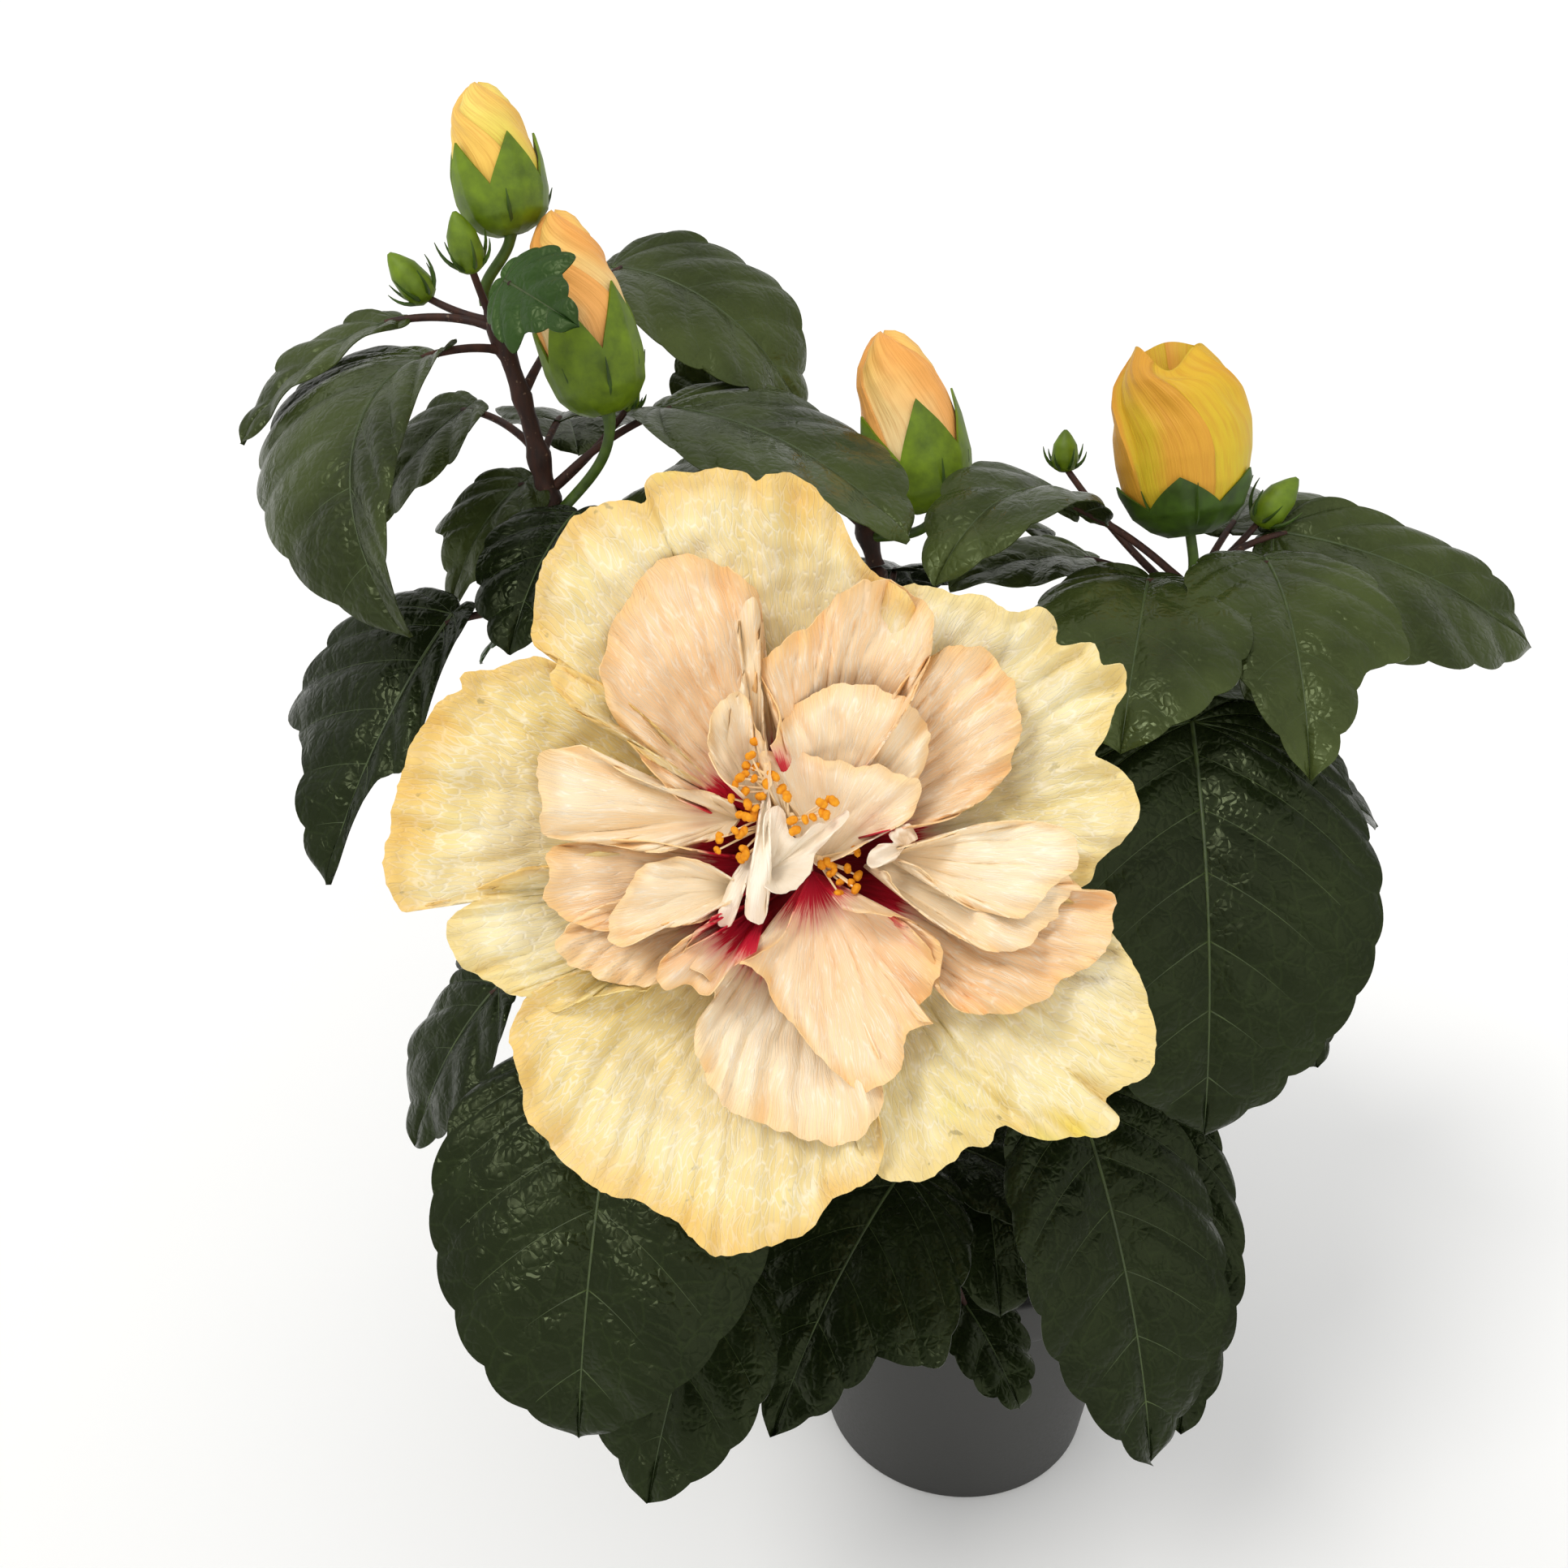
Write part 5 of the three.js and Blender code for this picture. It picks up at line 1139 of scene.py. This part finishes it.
def large_bud(name, mass, at, foot, tip, radius, green, opening, lapped, twist, phase, look):
    """Its stalk, its lapped petals, the folded ones in an opening one's mouth, its sepals and its bracts."""
    form = BUD_FORMS[opening]
    foot, tip = np.array(foot, float), np.array(tip, float)
    length = np.linalg.norm(tip - foot)
    way = unit(tip - foot)
    across, beyond = frame_of(way)
    seen = CAMERA["place"] - (foot + tip) / 2
    front = math.atan2(seen @ beyond, seen @ across)
    heap = Heap()
    heap.add(*bud_stalk(shoots[mass], at, foot, way), 1)

    def body(rise):
        return np.interp(rise, form["rises"], form["girths"])

    def swing(rise):
        return front + math.radians(lapped) + math.radians(twist) * ease(rise, 0.35, 1.1) ** 1.3

    def rim_drop(turn):
        """How much lower the open top is, most of all towards the camera."""
        off = (turn + swing(1.0) - front + np.pi) % (2 * np.pi) - np.pi
        drop = 0.13 * np.exp(-((off + 0.1) ** 2) / 0.5) + 0.05 * np.exp(-((off - 1.3) ** 2) / 0.5)
        return drop + 0.02 * np.sin(3 * turn)

    def petals(s, turn):
        rise = 0.1 + 0.9 * s
        lap = turn / (2 * np.pi) * form["laps"] % 1
        over = form["lap"] * (lap**1.4 - 0.4) * ease(rise, 0.2, 0.55)
        lean = 1 + 0.03 * np.sin(turn * 2 + 1)
        dent = 0.07 * np.exp(-(((lap - 0.62) / 0.2) ** 2) - ((rise - 0.66) / 0.12) ** 2)
        wide = radius * form["wide"] * body(rise) * (lean + over - dent)
        wide = wide + 0.13 * np.sin(9 * lap * np.pi + 5 * rise) * ease(rise, 0.3, 0.8)
        lower = 0.025 + rim_drop(turn) if opening else 0.28 * (lap - 0.45) ** 2
        return rise * length * (1 - lower * ease(rise, 0.7, 1)), wide

    def folded(s, turn):
        deep = np.interp(s, [0, 0.25, 0.42, 0.55, 0.72, 0.9, 1], [0.34, 0.28, 0.15, 0.27, 0.3, 0.06, -0.01])
        curl = 0.05 * np.sin(turn * 3 + 4 * s) * np.sin(np.pi * s)
        wave = 1 + 0.1 * np.sin(turn * 2 + 6 * s) * (1 - s)
        wide = radius * form["wide"] * body(1) * (0.04 + 0.9 * s) * wave
        return length * (0.975 - rim_drop(turn) - deep + curl), wide

    def sepal(share, notch):
        rise = share * green * (0.5 + 0.5 * (1 - notch) ** 0.9)
        ridge = 0.35 * (1 - notch) ** 6 + 0.25 * notch**8
        return rise * length, radius * form["snug"] * body(rise) + ridge

    rows = np.linspace(0, 1, BUD_ROWS)
    skin = round_skin(foot, way, rows, BUD_SIDES, petals, swing(0.1 + 0.9 * rows))
    if opening:
        whorl = round_skin(foot, way, np.linspace(1, 0, WHORL_ROWS), BUD_SIDES, folded, swing(1.0))
        skin = np.concatenate([skin, whorl])
    verts, faces = capped(skin)
    number = np.arange(len(skin))
    height = np.where(number < BUD_ROWS, number / (BUD_ROWS - 1), 0.45)
    turns = np.linspace(0, 2 * np.pi, BUD_SIDES, endpoint=False) / (2 * np.pi) * form["laps"]
    tones = np.array(form["tones"])[turns.astype(int) % 5]
    spots = np.zeros((len(verts), 2))
    spots[:-2] = np.column_stack([np.tile(turns % 1 * tones, len(skin)), np.repeat(height, BUD_SIDES)])
    heap.add(verts, faces, 0, {"petal": spots})
    heap.add(*sepals(foot, way, (0.4, -0.15), phase, sepal), 2)
    ends = [[(0.6, 0), (0.02 * length, 0.9 * radius), (0.26 * length, out * radius)] for out in (1.12, 1.3)]
    girths = 0.8 * np.array([1, 1.1, 1.05, 0.95, 0.8, 0.62, 0.4, 0.12])
    for bract in bracts(foot, (way, across, beyond), 7, 0.3, ends, girths, 6):
        heap.add(*bract, 3)
    make("dressed_" + name, heap, [look, "stalk_green", form["green"], "calyx_dark"], [name], 55)


for name, spec in BUDS.items():
    large_bud(name, *spec)

# The bloom
tilt = math.radians(BLOOM["tilt"])
axis = np.array([0, -math.cos(tilt), math.sin(tilt)])
upward = np.array([0, math.sin(tilt), math.cos(tilt)])
rightward = np.array([1.0, 0, 0])
throat = np.array(BLOOM["throat"], float)
EYE, SEEN_FROM = 337.5, 325  # how far the throat is from the camera, and the distance of the outlines' scale
FRILL = 4.6  # how high the margin's frills stand
# How petals are cut: rows and columns of points, broad and fine nicks in the margin, creases as a share of
# their size, and waves along the margin
PETAL_CUTS = {
    "outer": {"grid": (64, 132), "nicks": (0.8, 0.5), "crease": 0.011, "wave": 0.7},
    "inner": {"grid": (44, 92), "nicks": (1.2, 0.7), "crease": 0.022, "wave": 1.2},
    "petaloid": {"grid": (30, 56), "nicks": (1.2, 0.7), "crease": 0.022, "wave": 1.2},
}


def through(points, count):
    """A smooth line through points, in even steps along their chords."""
    points = np.array(points, float)
    runs = np.concatenate([[0], np.cumsum(np.linalg.norm(np.diff(points, axis=0), axis=1))])
    padded = np.concatenate([2 * points[:1] - points[1:2], points, 2 * points[-1:] - points[-2:-1]])
    where = np.linspace(0, runs[-1], count)
    k = np.clip(np.searchsorted(runs, where, "right") - 1, 0, len(points) - 2)
    t = ((where - runs[k]) / (runs[k + 1] - runs[k]))[:, None]
    a, b, c, d = (padded[k + i] for i in range(4))
    return 0.5 * (2 * b + (c - a) * t + (2 * a - 5 * b + 4 * c - d) * t**2 + (3 * b - a - 3 * c + d) * t**3)


def together(*numbers):
    return np.stack(np.broadcast_arrays(*numbers), -1)


def bloom_spot(right, up, out):
    """A place given from the throat as the camera sees it, where what stands nearer looks larger."""
    right, up, out = (np.asarray(number, float)[..., None] for number in (right, up, out))
    return throat + (rightward * right + upward * up) * ((EYE - out) / SEEN_FROM) + axis * out


def petal(kind, name, look, foot, depths, stain, folds, ruffle, cup, outline, seed):
    cut = PETAL_CUTS["petaloid" if look == "petaloid" else kind]
    rows, columns = cut["grid"]
    u, v = np.meshgrid(np.linspace(0, 1, rows + 1), np.linspace(-1, 1, columns + 1), indexing="ij")
    inside, edge = ease(u, 0.1, 0.6), ease(u, 0.55, 1) ** 1.5
    foot, margin = np.array(foot, float), through(outline, columns + 1)
    size = np.linalg.norm(margin - foot, axis=1).max()
    flat = together(*margin.T, 0)
    nicks = cut["nicks"][0] * ripples(flat, 4.5, seed) + cut["nicks"][1] * ripples(flat, 1.6, seed + 3)
    margin = margin + unit(margin - foot) * nicks[:, None]
    run = np.concatenate([[0], np.cumsum(np.linalg.norm(np.diff(margin, axis=0), axis=1))])
    seen = foot + (margin - foot) * u[..., None]

    # Its depth: the cupped blade, long folds, ruffles, crumples, creases, a curled lip, pleats and frills
    depth = np.interp(u, np.linspace(0, 1, 41), through([(d, 0) for d in depths], 41)[:, 0])
    height, count, phase = folds
    depth = depth + height * inside * np.sin(count * np.pi * v + phase + 0.8 * u)
    height, count, phase = ruffle
    depth = depth + height * edge * np.sin(count * np.pi * v + phase + 1.5 * np.sin(2 * v + seed))
    depth = depth + cup * inside * (np.abs(v) ** 2.2 - 0.3)
    flat = together(seen[..., 0], seen[..., 1], 0)
    depth = depth + size * (0.022 * ripples(flat, 11, seed) + 0.012 * ripples(flat, 4.5, seed + 5)) * inside
    wobble = v + 0.16 * ripples(together(u * 2.4, v * 1.6, seed), 1, seed + 2)
    waves = np.pi * max(size / 8.5, 2) * wobble
    depth = depth - (1 - np.abs(np.sin(waves + seed))) ** 2 * size * cut["crease"] * ease(u, 0.12, 0.5)
    depth = depth + cut["wave"] * edge * np.sin(2 * waves + 2 * seed)
    lip = ripples(together(run, 0, seed), 11, seed + 12) * 2.6 - 0.5
    depth = depth + lip * ease(u, 0.8, 1) ** 1.6 * min(size / 40, 1)
    pleats = ripples(together(run, u * size * 0.16, 0), 3.6, seed + 7)
    frills = ripples(together(run, u * size * 0.3, 0), 6.5, seed + 9) * min(size / 30, 1)
    depth = depth + 0.5 * pleats * ease(u, 0.15, 0.7) + FRILL * frills * ease(u, 0.55, 1)

    middle = bloom_spot(seen[..., 0], seen[..., 1], depth)
    normal = unit(np.cross(np.gradient(middle, axis=0), np.gradient(middle, axis=1)))
    thick = normal * (0.22 - 0.1 * ease(u, 0.5, 1))[..., None]
    off = seen - foot
    turn = np.arctan2(off[..., 1], off[..., 0]) - math.atan2(*(margin[columns // 2] - foot)[::-1])
    turn = (turn + np.pi) % (2 * np.pi) - np.pi
    turn[0] = turn[1]
    past = np.linalg.norm(seen, axis=-1) - stain
    maps = {"petal": together(turn * 40 + 100 * seed, past), "margin": together(v * 0.5 + 0.5, u)}
    heap = Heap()
    both = {key: np.tile(spots.reshape(-1, 2), (2, 1)) for key, spots in maps.items()}
    heap.add(*shell(middle + thick, middle - thick, flip=True), 0, both)
    make(f"petal_{kind}_{name}", heap, [look], ["bloom"], 70)


for kind, petals, first in (("outer", OUTER_PETALS, 1), ("inner", INNER_PETALS, 11)):
    for seed, spec in enumerate(petals, first):
        petal(kind, *spec, seed)

# Stamens: three tufts out of the throat. A tuft is a core from one point to another, as (right, up, out) from
# the throat, and the places of its anthers with how far out they stand; each thread leaves the core near by.
TUFTS = [
    (
        [(-3, -1, -8), (-6, 3, 6), (-7, 19, 15)],
        [(-9, 23.3), (-10, 20.5), (-10.8, 18.5), (-9, 18.3), (-12, 16.2), (-11, 16.9), (-13, 14.8),
         (-9.3, 16), (-11, 13.5), (-13.7, 12.2), (-10.5, 11), (-9, 10.3), (-12, 9), (-10.6, 8.6), (-9.3, 8.9),
         (-13, 6), (-12, 5.2), (-11.2, 5.9), (-16, 4.6), (-16.4, 2.2), (-11.2, 2.3), (-11, 1.2), (-11.9, 0.7),
         (-8, 12.6)],
        15,
    ),
    (
        [(-3, -1, -8), (-4, 3, 4), (-2, 9, 13)],
        [(-6, 17), (-5.2, 16.4), (-4, 14), (-6.9, 15), (-2, 8), (-1.5, 6), (0.5, 8.2), (2, 8.6), (3.8, 9.5),
         (4.6, 9), (3.7, 11.3), (5, 12), (6, 11.7), (-3, 12.6)],
        18,
    ),
    (
        [(-1, -1, -8), (1.5, 0.5, 1), (3.5, 0.5, 6)],
        [(10.2, 2.3), (10.7, 1.7), (3.8, -0.7), (5, -0.3), (6, -0.9), (5.3, -2.5), (6.1, -2), (8.8, -1.4),
         (10.8, -2.8), (7.4, -4), (9.5, -4.2), (10.4, -5.3), (7.1, -6.2)],
        8,
    ),
]
ANTHER = 0.85


def stamens():
    heap = Heap()
    pick = seeded(19)
    for core, anthers, stand in TUFTS:
        core = Curve(*[bloom_spot(*spot) for spot in core])
        heap.add(*tube(core.at(np.linspace(0, 1, 20)), np.linspace(1.5, 0.6, 20), 10))
        for right, up in anthers:
            tip = bloom_spot(right, up, stand + pick(-1.2, 1.2))
            shares = np.linspace(0.35, 1, 30)
            gaps = np.linalg.norm(core.at(shares) - tip, axis=1)
            base = core.at(max(shares[int(np.argmin(gaps))] - pick(0.04, 0.2), 0.3))
            way = unit(tip - base)
            thread = Curve(base, (base + tip) / 2 + axis * pick(-0.3, 1.1), tip)
            heap.add(*tube(thread.at(np.linspace(0, 1, 9)), np.linspace(0.3, 0.2, 9), 6))
            across = unit(np.cross(way, [pick(-1, 1), pick(-1, 1), pick(-1, 1)]))
            beads = np.linspace(-1, 1, 10)
            size = ANTHER * pick(0.85, 1.3)
            line = tip + beads[:, None] * across * size + (beads**2)[:, None] * way * size * 0.6
            girth = size * np.sqrt(np.clip(1 - beads**4, 0.02, 1)) * 0.8
            heap.add(*tube(line, girth, 10, lambda p: 0.22 * ripples(p, 0.45)), 1)
    make("stamens", heap, ["stamen_thread", "stamen_anther"], ["bloom"], 60)


def bloom_foot():
    """The stalk from the front bough's tip, and the calyx behind the petals."""
    bough = bough_curves["bough_front"]
    way = bough.way(1)
    start, back = bough.at(1) + way * GAP, throat - axis * (BLOOM["depth"] + BLOOM["calyx"])
    span = np.linalg.norm(back - start)
    curve = Curve(start, start + way * span * 0.4, back - axis * span * 0.4, back + axis * 3)
    length, radius = BLOOM["calyx"], BLOOM["calyx_radius"]

    def sepal(share, notch):
        rise = share * (0.75 + 0.85 * (1 - notch) ** 0.9)
        wide = np.interp(rise, [0, 0.06, 0.2, 0.55, 1, 1.6], [0.3, 0.6, 0.9, 1.05, 1.2, 1.75])
        return rise * length, radius * wide * (1 - 0.12 * notch * share)

    def neck(share, turn):
        return 6 + (length - 2) * share + 0 * turn, radius * (0.6 + 0.15 * share) + 0 * turn

    heap = Heap()
    stem(heap, curve, (2.4, 2.2, 2), 14, (0.35,))
    heap.add(*sepals(back, axis, (0.3, -0.3), 0, sepal), 1)
    heap.add(*capped(round_skin(back, axis, np.linspace(0, 1, 12), 60, neck)), 3)
    ends = [[(1, 0), (2, 1.1 * radius), (13, 1.5 * radius)]] * 2
    girths = 0.9 * np.array([1, 1.1, 1.1, 1, 0.9, 0.75, 0.55, 0.35, 0.1])
    for bract in bracts(back, (axis, *frame_of(axis)), 8, 0, ends, girths, 6):
        heap.add(*bract, 2)
    looks = ["stem_bark", "calyx_green", "calyx_dark", "stamen_thread"]
    make("bloom_foot", heap, looks, ["bloom"], 60)


stamens()
bloom_foot()


# Floor, light and camera
def floor(half):
    mesh = bpy.data.meshes.new("floor")
    corners = [(-half, -half, 0), (half, -half, 0), (half, half, 0), (-half, half, 0)]
    mesh.from_pydata(corners, [], [(0, 1, 2, 3)])
    s = Shader("floor_paper", 0.1, 0.9)
    tone = s.ramp(s.noise(s.place(), 2, 2), 0.3, 0.7, linear("f8f8f7"), linear("fcfcfb"))
    mesh.materials.append(s.finish(tone))
    piece = placed("floor", mesh)


def light(name, place, wide, power):
    """A soft light from far away; wide is how many degrees of the sky it fills."""
    lamp = bpy.data.lights.new(name, "SUN")
    lamp.angle, lamp.energy, lamp.color = math.radians(wide), power, (1, 0.985, 0.96)
    thing = placed(name, lamp)
    thing.location = place
    thing.rotation_euler = (-Vector(place)).to_track_quat("-Z", "Y").to_euler()


floor(14)
light("key", (-0.9, -0.9, 1.9), 18, 1.05)
light("fill", (0.6, -1.5, 1.2), 50, 0.35)

world = bpy.data.worlds.new("studio")
world.use_nodes = True
world.node_tree.nodes["Background"].inputs["Color"].default_value = (1, 1, 1, 1)
world.node_tree.nodes["Background"].inputs["Strength"].default_value = 0.78
bpy.context.scene.world = world
bpy.context.scene.view_settings.view_transform = "Standard"

camera = bpy.data.cameras.new("camera")
camera.sensor_width = CAMERA["sensor"]
camera.lens = CAMERA["sensor"] * CAMERA["focal"] / CAMERA["image"]
camera.clip_start = 0.01
viewer = placed("camera", camera)
viewer.location = [value * MM for value in CAMERA["place"]]
viewer.rotation_euler = (math.radians(90 - CAMERA["down"]), 0, 0)
bpy.context.scene.camera = viewer
